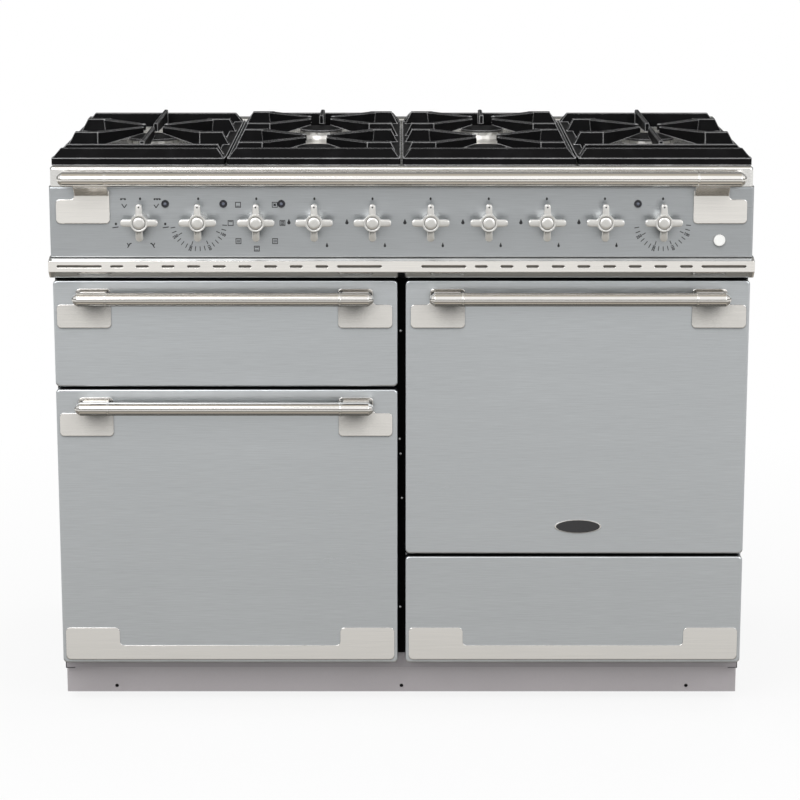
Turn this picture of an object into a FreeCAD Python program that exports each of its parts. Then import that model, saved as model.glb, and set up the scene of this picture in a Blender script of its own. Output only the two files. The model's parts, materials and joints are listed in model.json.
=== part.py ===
"""Free-standing range cooker, 110 cm wide, in brushed stainless steel.

Two columns of fronts stand under a control panel and a gas hob with six burners.
The left column has a glide-out grill over an oven, the right one an oven over a drawer.
X runs to the right, Y to the back and Z up, in millimetres, from the middle of the floor area.
"""
import FreeCAD, Part
import math
import os

V = FreeCAD.Vector
ACROSS, BACKWARD, UPWARD = V(1, 0, 0), V(0, 1, 0), V(0, 0, 1)

# Overall sizes
range_width = 1092.0
range_height = 905.0
range_depth = 648.0
body_side_inset = 5.0
fascia_side_inset = 3.0
rail_reach = 40.0

# Sheet metal, rounding and running gaps
sheet = 1.5
frame_sheet = 2.0
edge_round = 3.0
corner_round = 7.0
fit_gap = 0.3
overrun = 5.0

# Heights of the bands, from the top down
pan_support_rise = 29.0
hob_trim_height = 31.0
fascia_height = 111.0
vent_height = 31.0
vent_door_gap = 4.6
door_gap = 4.4
grill_front_height = 168.4
storage_front_height = 176.6
door_bottom_z = 78.0
base_z = 60.0

# Door fronts
column_gap = 12.0
skin_depth = 24.0
liner_sheet = 2.0
liner_bottom_lift = 20.0
liner_side_inset = 0.5
liner_dish_inset = 48.0
liner_dish_depth = 8.0
seal_width = 9.0
seal_thickness = 2.7
seal_overlap = 4.0

# Door hinges
hinge_behind_face = 10.0
hinge_above_edge = 8.0
hinge_from_side = 30.0
hinge_lug_width = 6.0
hinge_lug_radius = 5.0
hinge_pin_radius = 3.0
hinge_cheek_width = 4.0
hinge_cheek_height = 46.0
hinge_side_gap = 0.6

# Door and drawer handles
handle_radius = 10.5
handle_drop = 25.0
handle_outer_inset = 32.5
handle_inner_inset = 37.0
handle_end_length = 52.0
handle_nose_length = 8.5
handle_nose_radius = 2.5
handle_ring_width = 2.2
handle_ring_rise = 0.8
handle_arm_width = 40.0
handle_arm_height = 12.0
plate_thickness = 2.0
plate_round = 6.0
plate_width = 84.0
plate_low_height = 36.7
plate_tab_width = 54.0
plate_tab_height = 25.1
plate_outer_inset = 5.5
plate_inner_inset = 8.5
plate_top_drop = 12.7

# Front rail
rail_radius = 11.0
rail_height_above_fascia = 15.0
rail_end_inset = 16.5
rail_end_length = 73.0
rail_nose_length = 7.5
rail_nose_radius = 4.5
rail_plate_end_inset = 10.5
rail_plate_width = 82.5
rail_plate_height = 57.0
rail_notch_width = 28.0
rail_notch_height = 20.0
rail_arm_thickness = 7.0
rail_arm_drop = 14.0
rail_arm_inset = 1.0

# Kick trims at the bottom of the lower fronts
kick_side_inset = 5.5
kick_bottom_inset = 6.0
kick_end_width = 86.0
kick_end_height = 53.0
kick_strip_height = 23.5
kick_thickness = 1.2

# Vent strip
vent_reach = 12.0
vent_top_slope = 3.0
vent_bottom_slope = 10.6
vent_slot_height = 3.6
vent_long_slot = 69.0
vent_short_slot = 19.5
vent_slot_spacing = 39.6
vent_short_count = 9
vent_slot_lead = 58.0
vent_row_offset = 8.5
vent_end_round = 3.0

# Controls on the fascia
control_names = ("grill_knob", "left_oven_temperature_knob", "left_oven_function_knob",
                 "gas_knob_1", "gas_knob_2", "gas_knob_3", "gas_knob_4", "gas_knob_5", "gas_knob_6",
                 "right_oven_temperature_knob")
knob_spacing = 89.5
knob_height_above_fascia_bottom = 58.0
knob_clearance = 7.0
knob_hub_radius = 13.0
knob_back_radius = 10.5
knob_depth = 22.0
knob_arm_reach = 29.0
knob_arm_width = 9.8
knob_foot_width = 12.0
knob_pointer_width = 9.0
knob_arm_bevel = 1.3
knob_arm_depth = 8.0
knob_arm_setback = 5.0
knob_cap_radius = 8.2
knob_cap_rise = 1.6
knob_groove = 1.2
knob_groove_depth = 1.0
spindle_radius = 4.0
spindle_hole_radius = 6.3
spindle_in_knob = 14.0
spindle_in_valve = 22.0
gas_push_travel = 4.0
valve_radius = 13.0
valve_length = 34.0
manifold_radius = 8.0
manifold_gap = 4.0
branch_radius = 6.0
switch_side = 42.0
switch_depth = 30.0
lamp_radius = 5.9
lamp_reach = 2.2
lamp_barrel_radius = 4.6
lamp_barrel_length = 14.0
lamp_rise = 26.5
lamp_from_knob = 38.5
button_radius = 9.0
button_reach = 4.5
button_length = 16.0
button_travel = 3.0
button_end_inset = 52.0
button_height_above_fascia_bottom = 28.0
button_cup_wall = 2.5

# Hob tray and rear trim
hob_edge_round = 5.0
hob_well_inset = 22.0
hob_well_depth = 14.0
hob_well_round = 18.0
rear_trim_depth = 40.0
rear_trim_rise = 9.0
rear_trim_round = 3.0

# Burners
front_burner_inset = 145.0
back_burner_inset = 130.0
outer_burner_offset = 20.0
front_burner_share = 1.0
back_burner_share = 1.1
outer_burner_share = 1.32
burner_base_radius = 45.0
burner_base_height = 9.0
burner_base_lip = 3.0
burner_neck_radius = 27.0
burner_crown_radius = 33.0
burner_crown_height = 12.0
burner_cap_radius = 32.0
burner_cap_height = 5.0
burner_cap_dome = 1.6
burner_port_count = 18
burner_port_width = 3.0
burner_port_height = 5.0
burner_port_depth = 6.0

# Pan supports
support_names = ("left_outer", "left_inner", "right_inner", "right_outer")
pan_support_side_inset = 1.0
pan_support_gap = 3.5
pan_support_front_inset = 15.0
pan_support_back_gap = 23.0
ring_bar_width = 15.0
ring_bar_height = 9.0
ring_corner_round = 4.0
end_bar_width = 27.0
end_bar_face = 11.0
end_bar_rise = 24.0
end_bar_slope = 16.0
end_bar_side_slope = 11.0
cross_bar_inset = 71.0
cross_bar_width = 12.0
tooth_length = 52.0
tooth_width = 20.0
tooth_slope = 15.0
tooth_side_slope = 3.0
finger_root_width = 14.0
finger_tip_width = 6.5
finger_root_height = 24.0
finger_tip_height = 11.0
finger_edge = 1.5
finger_tip_gap = 27.0
finger_spread_inner = 84.0
finger_spread_outer = 92.0
slim_finger_width = 7.0
slim_finger_height = 14.0

# Carcass
plinth_setback = 45.0
plinth_clearance = 15.0
plinth_return = 40.0
plinth_flange = 15.0
plinth_hole_radius = 3.0
plinth_hole_height = 25.0
plinth_hole_end_inset = 80.0
panel_flange = 15.0
frame_top_lift = 6.0
base_flange = 18.0
louvre_count = 14
louvre_spacing = 14.0
louvre_width = 150.0
louvre_height = 4.0
louvre_top_drop = 90.0
foot_radius = 20.0
foot_height = 8.0
foot_stem_radius = 6.0
foot_inset_x = 60.0
foot_behind_face = 140.0
roller_radius = 25.0
roller_width = 20.0
roller_axle_radius = 4.0
roller_inset_x = 60.0
roller_from_back = 60.0
roller_cheek = 3.0
roller_cheek_width = 24.0

# Cavities, shelves and grill
cavity_outer_gap = 32.0
cavity_inner_gap = 30.0
oven_mouth_sill = 40.0
oven_mouth_head = 34.0
oven_depth = 450.0
grill_mouth_sill = 14.0
grill_mouth_head = 14.0
grill_depth = 400.0
shelf_ledge_width = 7.0
shelf_ledge_height = 3.0
shelf_ledge_levels = 3
shelf_front_gap = 20.0
shelf_depth = 400.0
shelf_wire_radius = 2.5
shelf_wire_count = 9
cross_wire_share = 0.8
fan_plate_radius = 100.0
fan_plate_thickness = 3.0
fan_slot_count = 8
fan_slot_length = 60.0
fan_slot_width = 8.0
element_radius = 3.5
element_bends = 3
element_bend_radius = 24.0
element_side_inset = 60.0
element_back_inset = 60.0
element_drop = 14.0
grill_channel_height = 20.0
grill_channel_width = 14.0
grill_channel_below_mouth_top = 68.0
grill_channel_length = 360.0
grill_bar_width = 12.0
grill_ledge_width = 14.0
grill_pan_depth = 330.0
grill_pan_drop = 40.0
grill_pan_front_gap = 16.0
grill_rack_lift = 14.0
grill_rack_inset = 12.0
grill_rack_wire = 2.0
grill_rack_count = 10

# Storage drawer
storage_mouth_sill = 6.0
storage_mouth_head = 6.0
storage_box_gap = 6.0
storage_box_head_gap = 12.0
storage_box_depth = 460.0
storage_bar_width = 8.0
storage_bar_height = 12.0
storage_bar_lift = 60.0
storage_channel_length = 450.0
storage_channel_gap = 0.9

# Places worked out from the sizes above
half_range = range_width / 2
half_body = half_range - body_side_inset
half_fascia = half_range - fascia_side_inset
front_y = -range_depth / 2
back_y = range_depth / 2
face_y = front_y + rail_reach
door_back_y = face_y + skin_depth + liner_sheet
frame_front_y = door_back_y + seal_thickness + fit_gap
frame_back_y = frame_front_y + frame_sheet
back_panel_y = back_y - sheet
inside_back_y = back_panel_y - sheet
floor_z = base_z + sheet
hob_rim_z = range_height - pan_support_rise
fascia_top_z = hob_rim_z - hob_trim_height
fascia_bottom_z = fascia_top_z - fascia_height
vent_bottom_z = fascia_bottom_z - vent_height
door_top_z = vent_bottom_z - vent_door_gap
grill_bottom_z = door_top_z - grill_front_height
left_oven_top_z = grill_bottom_z - door_gap
storage_top_z = door_bottom_z + storage_front_height
right_oven_bottom_z = storage_top_z + door_gap
frame_top_z = fascia_bottom_z + frame_top_lift
knob_z = fascia_bottom_z + knob_height_above_fascia_bottom
button_z = fascia_bottom_z + button_height_above_fascia_bottom
button_x = half_fascia - button_end_inset
first_knob_x = -(len(control_names) - 1) / 2 * knob_spacing
knob_places = {name: first_knob_x + i * knob_spacing for i, name in enumerate(control_names)}
gas_places = [x for name, x in knob_places.items() if name.startswith("gas")]
electric_places = [x for x in knob_places.values() if x not in gas_places]
lamp_places = [x + lamp_from_knob if x < 0 else x - lamp_from_knob for x in electric_places]
support_front_y = face_y + pan_support_front_inset
support_back_y = back_y - rear_trim_depth - pan_support_back_gap
partition_x = frame_sheet / 2
inner_x = half_body - sheet
door_inner_x = column_gap / 2


def block(x0, x1, y0, y1, z0, z1):
    """A box between two corners."""
    return Part.makeBox(x1 - x0, y1 - y0, z1 - z0, V(x0, y0, z0))


def fused(shapes):
    """One solid from several that meet."""
    whole = shapes[0].multiFuse(shapes[1:]) if len(shapes) > 1 else shapes[0]
    return whole.removeSplitter()


def rod(start, end, radius):
    """A round bar between two points."""
    return Part.makeCylinder(radius, (end - start).Length, start, end - start)


def rounded_wire(corners, radius):
    """A closed flat wire through the corners, each turned by an arc of the radius."""
    turns = []
    for i, corner in enumerate(corners):
        to_last = (corners[i - 1] - corner).normalize()
        to_next = (corners[(i + 1) % len(corners)] - corner).normalize()
        half_turn = to_last.getAngle(to_next) / 2
        reach = radius / math.tan(half_turn)
        middle = (to_last + to_next).normalize() * (radius / math.sin(half_turn) - radius)
        turns.append((corner + to_last * reach, corner + middle, corner + to_next * reach))
    edges = []
    for i, (start, middle, end) in enumerate(turns):
        edges.append(Part.Arc(start, middle, end).toShape())
        next_start = turns[(i + 1) % len(turns)][0]
        if (next_start - end).Length > Part.Precision.confusion():
            edges.append(Part.LineSegment(end, next_start).toShape())
    return Part.Wire(edges)


def facing_plate(outline, y, thickness, radius=0.0):
    """A plate that faces the front: an outline in X and Z, from y backward."""
    corners = [V(x, y, z) for x, z in outline]
    wire = rounded_wire(corners, radius) if radius else Part.makePolygon(corners + corners[:1])
    return Part.Face(wire).extrude(BACKWARD * thickness)


def side_profile(outline, x0, x1):
    """A bar along X whose section is an outline in Y and Z."""
    corners = [V(x0, y, z) for y, z in outline]
    return Part.Face(Part.makePolygon(corners + corners[:1])).extrude(ACROSS * (x1 - x0))


def front_profile(outline, y0, y1):
    """A bar along Y whose section is an outline in X and Z."""
    corners = [V(x, y0, z) for x, z in outline]
    return Part.Face(Part.makePolygon(corners + corners[:1])).extrude(BACKWARD * (y1 - y0))


def turned(profile, centre, direction):
    """A solid of revolution: radii and heights along a direction from a centre."""
    corners = [V(radius, 0, height) for radius, height in profile]
    solid = Part.Face(Part.makePolygon(corners + corners[:1])).revolve(V(0, 0, 0), UPWARD, 360)
    solid.Placement = FreeCAD.Placement(centre, FreeCAD.Rotation(UPWARD, direction))
    return solid


def mirrored(shape):
    """The same shape on the other side of the middle plane."""
    return shape.mirror(V(0, 0, 0), ACROSS)


def sheet_tray(x0, x1, y0, y1, z0, z1, wall, open_side):
    """A box folded from sheet, open towards +Y, -Y, +Z or -Z."""
    inner = {
        "back": (x0 + wall, x1 - wall, y0 + wall, y1 + overrun, z0 + wall, z1 - wall),
        "front": (x0 + wall, x1 - wall, y0 - overrun, y1 - wall, z0 + wall, z1 - wall),
        "top": (x0 + wall, x1 - wall, y0 + wall, y1 - wall, z0 + wall, z1 + overrun),
        "bottom": (x0 + wall, x1 - wall, y0 + wall, y1 - wall, z0 - overrun, z1 - wall),
    }[open_side]
    return block(x0, x1, y0, y1, z0, z1).cut(block(*inner))


def edges_at(shape, test):
    """The edges of a shape whose middle passes a test."""
    return [edge for edge in shape.Edges if test(edge.CenterOfMass)]


class Front:
    """The place of one door or drawer front, and the mouth that it closes."""

    def __init__(self, x0, x1, z0, z1, sill, head):
        self.x0, self.x1, self.z0, self.z1 = x0, x1, z0, z1
        left_column = x1 < 0
        self.mouth_x0 = x0 + (cavity_outer_gap if left_column else cavity_inner_gap)
        self.mouth_x1 = x1 - (cavity_inner_gap if left_column else cavity_outer_gap)
        self.mouth_z0, self.mouth_z1 = z0 + sill, z1 - head

    def mouth(self, y0, y1):
        return block(self.mouth_x0, self.mouth_x1, y0, y1, self.mouth_z0, self.mouth_z1)


left_x, right_x = (-half_body, -door_inner_x), (door_inner_x, half_body)
grill = Front(*left_x, grill_bottom_z, door_top_z, grill_mouth_sill, grill_mouth_head)
left_oven = Front(*left_x, door_bottom_z, left_oven_top_z, oven_mouth_sill, oven_mouth_head)
right_oven = Front(*right_x, right_oven_bottom_z, door_top_z, oven_mouth_sill, oven_mouth_head)
storage = Front(*right_x, door_bottom_z, storage_top_z, storage_mouth_sill, storage_mouth_head)
ovens = (left_oven, right_oven)


def hinge_places(front):
    """Where the two hinges of a door stand across the cooker."""
    return (front.x0 + hinge_from_side, front.x1 - hinge_from_side)


def side_panel():
    """Right side panel: one sheet with its top, bottom and back edges folded in."""
    panel = sheet_tray(half_body - panel_flange, half_body, frame_front_y, back_panel_y,
                       base_z, fascia_top_z, sheet, "front")
    opening = block(half_body - panel_flange - overrun, half_body - sheet, frame_front_y - overrun,
                    back_panel_y - sheet, base_z + sheet, fascia_top_z - sheet)
    return panel.cut(opening)


def back_panel():
    """Flat back with two banks of cooling slots near the top."""
    panel = block(-half_body, half_body, back_panel_y, back_y, base_z, fascia_top_z)
    slots = []
    for centre_x in (-half_body / 2, half_body / 2):
        for i in range(louvre_count):
            top = fascia_top_z - louvre_top_drop - i * louvre_spacing
            slots.append(block(centre_x - louvre_width / 2, centre_x + louvre_width / 2,
                               back_panel_y - overrun, back_y + overrun, top - louvre_height, top))
    return panel.cut(Part.makeCompound(slots))


def roller_places():
    return (-half_body + roller_inset_x, half_body - roller_inset_x)


roller_y = back_y - roller_from_back


def base_pan():
    """Folded floor of the carcass, slotted for the centre wall, with cheeks for the rear rollers."""
    pieces = [sheet_tray(-inner_x, inner_x, frame_back_y, inside_back_y, floor_z,
                         floor_z + base_flange, frame_sheet, "top")]
    cheek_foot = roller_radius - roller_cheek_width / 2
    for x in roller_places():
        for side in (-1, 1):
            near = x + side * (roller_width / 2 + fit_gap)
            far = near + side * roller_cheek
            cheek = block(min(near, far), max(near, far), roller_y - roller_cheek_width / 2,
                          roller_y + roller_cheek_width / 2, cheek_foot, floor_z)
            pieces.append(cheek)
    pan = fused(pieces)
    bore = rod(V(-half_body, roller_y, roller_radius), V(half_body, roller_y, roller_radius),
               roller_axle_radius + fit_gap)
    wall_slot = block(-partition_x - fit_gap, partition_x + fit_gap, frame_back_y - overrun,
                      inside_back_y + overrun, floor_z + frame_sheet, floor_z + base_flange + overrun)
    return pan.cut(bore).cut(wall_slot)


def plinth():
    """Kick board under the doors: a folded sheet with three screw holes along its foot."""
    front = face_y + plinth_setback
    board = sheet_tray(-half_body, half_body, front, front + plinth_return, plinth_clearance,
                       base_z, sheet, "back")
    keep = block(-half_body, half_body, front, front + plinth_flange, plinth_clearance, base_z)
    sides = board.cut(block(-half_body + sheet, half_body - sheet, front + sheet,
                            front + plinth_return + overrun, 0, base_z + overrun))
    folded = fused([board.common(keep), sides])
    end_hole_x = half_body - plinth_hole_end_inset
    holes = [rod(V(x, front - overrun, plinth_hole_height),
                 V(x, front + sheet + overrun, plinth_hole_height), plinth_hole_radius)
             for x in (-end_hole_x, 0, end_hole_x)]
    return folded.cut(Part.makeCompound(holes))


def hinge_axis(front):
    """Y and Z of a door's hinge pins."""
    return face_y + hinge_behind_face, front.z0 + hinge_above_edge


def front_frame():
    """Face frame with four mouths, a shelf over the ovens, a centre wall and hinge lugs."""
    plate = block(-inner_x, inner_x, frame_front_y, frame_back_y, floor_z, frame_top_z)
    for front in (grill, left_oven, right_oven, storage):
        plate = plate.cut(front.mouth(frame_front_y - overrun, frame_back_y + overrun))
    shelf = block(-inner_x, inner_x, frame_back_y, inside_back_y, frame_top_z - frame_sheet, frame_top_z)
    wall = block(-partition_x, partition_x, frame_back_y, inside_back_y,
                 floor_z + frame_sheet, frame_top_z - frame_sheet)
    pieces = [plate, shelf, wall]
    for front in ovens:
        axis_y, axis_z = hinge_axis(front)
        for x in hinge_places(front):
            x0, x1 = x - hinge_lug_width / 2, x + hinge_lug_width / 2
            arm = block(x0, x1, axis_y, frame_front_y, axis_z - hinge_lug_radius, axis_z + hinge_lug_radius)
            eye = rod(V(x0, axis_y, axis_z), V(x1, axis_y, axis_z), hinge_lug_radius)
            pieces += [arm, eye]
    frame = fused(pieces)
    for front in ovens:
        axis_y, axis_z = hinge_axis(front)
        for x in hinge_places(front):
            bore = rod(V(x - hinge_lug_width, axis_y, axis_z), V(x + hinge_lug_width, axis_y, axis_z),
                       hinge_pin_radius + fit_gap)
            frame = frame.cut(bore)
    return frame


def support_places():
    """Left and right edges of the four pan supports."""
    count = len(support_names)
    whole = 2 * (half_body - pan_support_side_inset)
    width = (whole - (count - 1) * pan_support_gap) / count
    lefts = [i * (width + pan_support_gap) - whole / 2 for i in range(count)]
    return [(left, left + width) for left in lefts]


def is_outer(index):
    """Whether a pan support is the first or the last, which stand over one large burner."""
    return index in (0, len(support_names) - 1)


def burners_under(index):
    """Y and size share of the burners under one pan support, from the front."""
    if is_outer(index):
        return [((support_front_y + support_back_y) / 2 + outer_burner_offset, outer_burner_share)]
    return [(support_front_y + front_burner_inset, front_burner_share),
            (support_back_y - back_burner_inset, back_burner_share)]


def burner_places():
    """Centre and size share of every burner, from left to right."""
    return [((x0 + x1) / 2, y, share) for i, (x0, x1) in enumerate(support_places())
            for y, share in burners_under(i)]


def hob_tray():
    """Pressed hob: a rim with a rolled edge and one sunken well under each pan support."""
    y0, y1 = face_y, back_y - rear_trim_depth
    outer = block(-half_body, half_body, y0, y1, fascia_top_z, hob_rim_z)
    rolled = edges_at(outer, lambda c: (c.z > hob_rim_z - sheet / 2 and c.y < y1 - sheet)
                      or (abs(c.y - y0) < sheet and abs(c.x) > half_body - sheet))
    outer = outer.makeFillet(hob_edge_round, rolled)
    tray = outer.cut(block(-half_body + sheet, half_body - sheet, y0 + sheet, y1 - sheet,
                           fascia_top_z - overrun, hob_rim_z - sheet))
    well_front, well_back = support_front_y + hob_well_inset, support_back_y - hob_well_inset
    floor = hob_rim_z - hob_well_depth
    for x0, x1 in support_places():
        left, right = x0 + hob_well_inset, x1 - hob_well_inset
        corners = [V(left, well_front, 0), V(right, well_front, 0),
                   V(right, well_back, 0), V(left, well_back, 0)]
        opening = Part.Face(rounded_wire(corners, hob_well_round))
        outline = Part.Face(Part.Wire(rounded_wire(corners, hob_well_round)).makeOffset2D(sheet))
        outer_well = outline.extrude(UPWARD * (hob_well_depth + sheet / 2))
        outer_well.translate(UPWARD * (floor - sheet))
        inner_well = opening.extrude(UPWARD * (hob_well_depth + overrun))
        inner_well.translate(UPWARD * floor)
        tray = tray.fuse(outer_well).cut(inner_well)
    holes = [rod(V(x, y, floor - overrun), V(x, y, hob_rim_z), burner_neck_radius * share)
             for x, y, share in burner_places()]
    return tray.cut(Part.makeCompound(holes)).removeSplitter()


def rear_trim():
    """Raised strip along the back edge of the hob."""
    trim = block(-half_range, half_range, back_y - rear_trim_depth, back_y, fascia_top_z,
                 hob_rim_z + rear_trim_rise)
    top = edges_at(trim, lambda c: c.z > hob_rim_z and abs(c.x) < half_range / 2)
    trim = trim.makeFillet(rear_trim_round, top)
    inside = block(-half_range + sheet, half_range - sheet, back_y - rear_trim_depth + sheet,
                   back_y - sheet, fascia_top_z - overrun, hob_rim_z + rear_trim_rise - sheet)
    return trim.cut(inside)


def control_panel():
    """Fascia folded from sheet, pierced for spindles, lamps and the ignition button."""
    outer = block(-half_fascia, half_fascia, face_y, frame_front_y, fascia_bottom_z, fascia_top_z)
    soft = edges_at(outer, lambda c: abs(c.y - face_y) < sheet)
    outer = outer.makeFillet(edge_round, soft)
    panel = outer.cut(block(-half_fascia + sheet, half_fascia - sheet, face_y + sheet,
                            frame_front_y + overrun, fascia_bottom_z + sheet, fascia_top_z - sheet))
    holes = []

    def pierce(x, z, radius):
        holes.append(rod(V(x, face_y - overrun, z), V(x, face_y + sheet + overrun, z), radius))

    for x in knob_places.values():
        pierce(x, knob_z, spindle_hole_radius)
    for x in lamp_places:
        pierce(x, knob_z + lamp_rise, lamp_barrel_radius + fit_gap)
    pierce(button_x, button_z, button_radius + fit_gap)
    return panel.cut(Part.makeCompound(holes))


def vent_section(offset):
    """Outline of the vent strip in Y and Z, drawn in by an offset."""
    top, bottom = fascia_bottom_z - offset, vent_bottom_z + offset
    reach = face_y - vent_reach + offset
    return [(frame_front_y + (overrun if offset else 0), top), (face_y, top),
            (reach, fascia_bottom_z - vent_top_slope), (reach, vent_bottom_z + vent_bottom_slope),
            (face_y, bottom), (frame_front_y + (overrun if offset else 0), bottom)]


def vent_slots():
    """Left and right ends of the slots on both halves of the vent strip."""
    ends = []
    span = vent_slot_spacing * (vent_short_count - 1)
    for side in (-1, 1):
        centre = side * (half_range / 2 + vent_row_offset)
        for i in range(vent_short_count):
            x = centre - span / 2 + i * vent_slot_spacing
            ends.append((x - vent_short_slot / 2, x + vent_short_slot / 2))
        for way in (-1, 1):
            x = centre + way * (span / 2 + vent_slot_lead)
            ends.append((x - vent_long_slot / 2, x + vent_long_slot / 2))
    return ends


def vent_strip():
    """Slotted strip between the fascia and the fronts, standing forward of both."""
    strip = side_profile(vent_section(0), -half_range, half_range)
    ends = edges_at(strip, lambda c: abs(c.x) > half_range - fit_gap and c.y < face_y - fit_gap)
    strip = strip.makeFillet(vent_end_round, ends)
    strip = strip.cut(side_profile(vent_section(sheet), -half_range + sheet, half_range - sheet))
    slot_z = vent_bottom_z + (vent_height + vent_bottom_slope - vent_top_slope) / 2
    low, high = slot_z - vent_slot_height / 2, slot_z + vent_slot_height / 2
    slots = [facing_plate([(x0, low), (x1, low), (x1, high), (x0, high)], face_y - vent_reach - overrun,
                          sheet + overrun + overrun / 2, vent_slot_height / 2)
             for x0, x1 in vent_slots()]
    return strip.cut(Part.makeCompound(slots))


def end_casting(x_joint, x_nose, y, z, radius, nose_length, nose_radius):
    """The cast end of a bar: a round body that narrows to a blunt nose."""
    way = 1 if x_nose > x_joint else -1
    length = abs(x_nose - x_joint)
    profile = [(0, 0), (radius, 0), (radius, length - nose_length),
               ((radius + nose_radius) / 2, length - nose_length / 3), (nose_radius, length), (0, length)]
    return turned(profile, V(x_joint, y, z), ACROSS * way)


def joint_ring(x, y, z, radius):
    """The raised ring where a bar meets its cast end."""
    half = handle_ring_width / 2
    return rod(V(x - half, y, z), V(x + half, y, z), radius + handle_ring_rise)


def front_rail():
    """Towel rail across the whole front, on two formed brackets that stand on the fascia."""
    y, z = front_y + rail_radius + handle_ring_rise, fascia_top_z + rail_height_above_fascia
    nose_x = half_fascia - rail_end_inset
    joint_x = nose_x - rail_end_length
    bar = rod(V(-joint_x, y, z), V(joint_x, y, z), rail_radius)
    casting = end_casting(joint_x, nose_x, y, z, rail_radius, rail_nose_length, rail_nose_radius)
    x1 = half_fascia - rail_plate_end_inset
    x0 = x1 - rail_plate_width
    step_x, step_z = x1 - rail_notch_width, fascia_top_z - rail_notch_height
    bottom_z = fascia_top_z - rail_plate_height
    outline = [(x0, bottom_z), (x1, bottom_z), (x1, step_z), (step_x, step_z),
               (step_x, fascia_top_z - sheet), (x0, fascia_top_z - sheet)]
    plate = facing_plate(outline, face_y - plate_thickness, plate_thickness, plate_round)
    plate_y = face_y - plate_thickness
    arm = side_profile([(plate_y, fascia_top_z - rail_arm_drop), (plate_y, fascia_top_z - sheet),
                        (y + rail_arm_thickness / 2, z), (y, z), (y, z - rail_arm_thickness)],
                       x0 + rail_arm_inset, step_x - rail_arm_inset)
    ring = joint_ring(joint_x, y, z, rail_radius)
    right = fused([casting, ring, plate, arm])
    return Part.makeCompound([fused([bar, right, mirrored(right)])])


def handle(front):
    """Bar handle of one front, with a cast end and a stepped plate on each side."""
    outer_left = front.x1 < 0
    y = face_y - rail_reach + handle_radius + handle_ring_rise
    z = front.z1 - handle_drop
    left_inset = handle_outer_inset if outer_left else handle_inner_inset
    right_inset = handle_inner_inset if outer_left else handle_outer_inset
    noses = (front.x0 + left_inset, front.x1 - right_inset)
    joints = (noses[0] + handle_end_length, noses[1] - handle_end_length)
    pieces = [rod(V(joints[0], y, z), V(joints[1], y, z), handle_radius)]
    insets = (plate_outer_inset, plate_inner_inset)
    for nose, joint, way, edge, inset in zip(noses, joints, (1, -1), (front.x0, front.x1),
                                             insets if outer_left else insets[::-1]):
        pieces.append(end_casting(joint, nose, y, z, handle_radius, handle_nose_length, handle_nose_radius))
        pieces.append(joint_ring(joint, y, z, handle_radius))
        start = edge + way * inset
        step = start + way * (plate_width - plate_tab_width)
        end = start + way * plate_width
        top = front.z1 - plate_top_drop
        shoulder = top - plate_tab_height
        bottom = shoulder - plate_low_height
        outline = [(start, bottom), (end, bottom), (end, top),
                   (step, top), (step, shoulder), (start, shoulder)]
        pieces.append(facing_plate(outline, face_y - plate_thickness, plate_thickness, plate_round))
        middle = (step + end) / 2
        half = handle_arm_width / 2
        pieces.append(block(middle - half, middle + half, y, face_y - plate_thickness,
                            z - handle_arm_height / 2, z + handle_arm_height / 2))
    return fused(pieces)


def door_skin(front):
    """Outer pressing of a front: a shallow tray with softened edges and rounded corners."""
    outline = [(front.x0, front.z0), (front.x1, front.z0), (front.x1, front.z1), (front.x0, front.z1)]
    outer = facing_plate(outline, face_y, skin_depth, corner_round)
    rim = edges_at(outer, lambda c: abs(c.y - face_y) < sheet / 2)
    outer = outer.makeFillet(edge_round, rim)
    inner = facing_plate([(front.x0 + sheet, front.z0 + sheet), (front.x1 - sheet, front.z0 + sheet),
                          (front.x1 - sheet, front.z1 - sheet), (front.x0 + sheet, front.z1 - sheet)],
                         face_y + sheet, skin_depth, corner_round - sheet)
    return outer.cut(inner)


def oven_door_skin(front):
    """Skin of a drop-down door, notched at the bottom for its two hinge lugs."""
    skin = door_skin(front)
    axis_y, axis_z = hinge_axis(front)
    for x in hinge_places(front):
        half = hinge_lug_width / 2 + hinge_side_gap
        skin = skin.cut(block(x - half, x + half, axis_y - hinge_lug_radius - hinge_side_gap,
                              door_back_y, front.z0 - overrun, front.z0 + sheet))
    return skin


def door_liner(front):
    """Inner pressing of a drop-down door: a dished plate that carries the hinge pins."""
    y = face_y + skin_depth
    x0, x1 = front.x0 + liner_side_inset, front.x1 - liner_side_inset
    z0, z1 = front.z0 + liner_bottom_lift, front.z1 - liner_side_inset
    plate = facing_plate([(x0, z0), (x1, z0), (x1, z1), (x0, z1)], y, liner_sheet, corner_round)
    dish_x0, dish_x1 = x0 + liner_dish_inset, x1 - liner_dish_inset
    dish_z0, dish_z1 = z0 + liner_dish_inset, z1 - liner_dish_inset
    dish = block(dish_x0, dish_x1, y - liner_dish_depth, y + liner_sheet, dish_z0, dish_z1)
    hollow = block(dish_x0 + liner_sheet, dish_x1 - liner_sheet, y - liner_dish_depth + liner_sheet,
                   y + liner_sheet + overrun, dish_z0 + liner_sheet, dish_z1 - liner_sheet)
    pieces = [plate.fuse(dish).cut(hollow)]
    axis_y, axis_z = hinge_axis(front)
    for x in hinge_places(front):
        inner = hinge_lug_width / 2 + hinge_side_gap
        outer = inner + hinge_cheek_width
        pieces.append(rod(V(x - outer, axis_y, axis_z), V(x + outer, axis_y, axis_z), hinge_pin_radius))
        for a, b in ((x - outer, x - inner), (x + inner, x + outer)):
            foot = z0 + hinge_pin_radius
            cheek = side_profile([(axis_y - hinge_lug_radius, axis_z - hinge_lug_radius),
                                  (axis_y + hinge_lug_radius, axis_z - hinge_lug_radius),
                                  (axis_y + hinge_lug_radius, foot), (y, foot),
                                  (y, front.z0 + hinge_cheek_height),
                                  (axis_y - hinge_lug_radius, front.z0 + hinge_cheek_height)], a, b)
            pieces.append(cheek)
    return fused(pieces)


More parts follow.
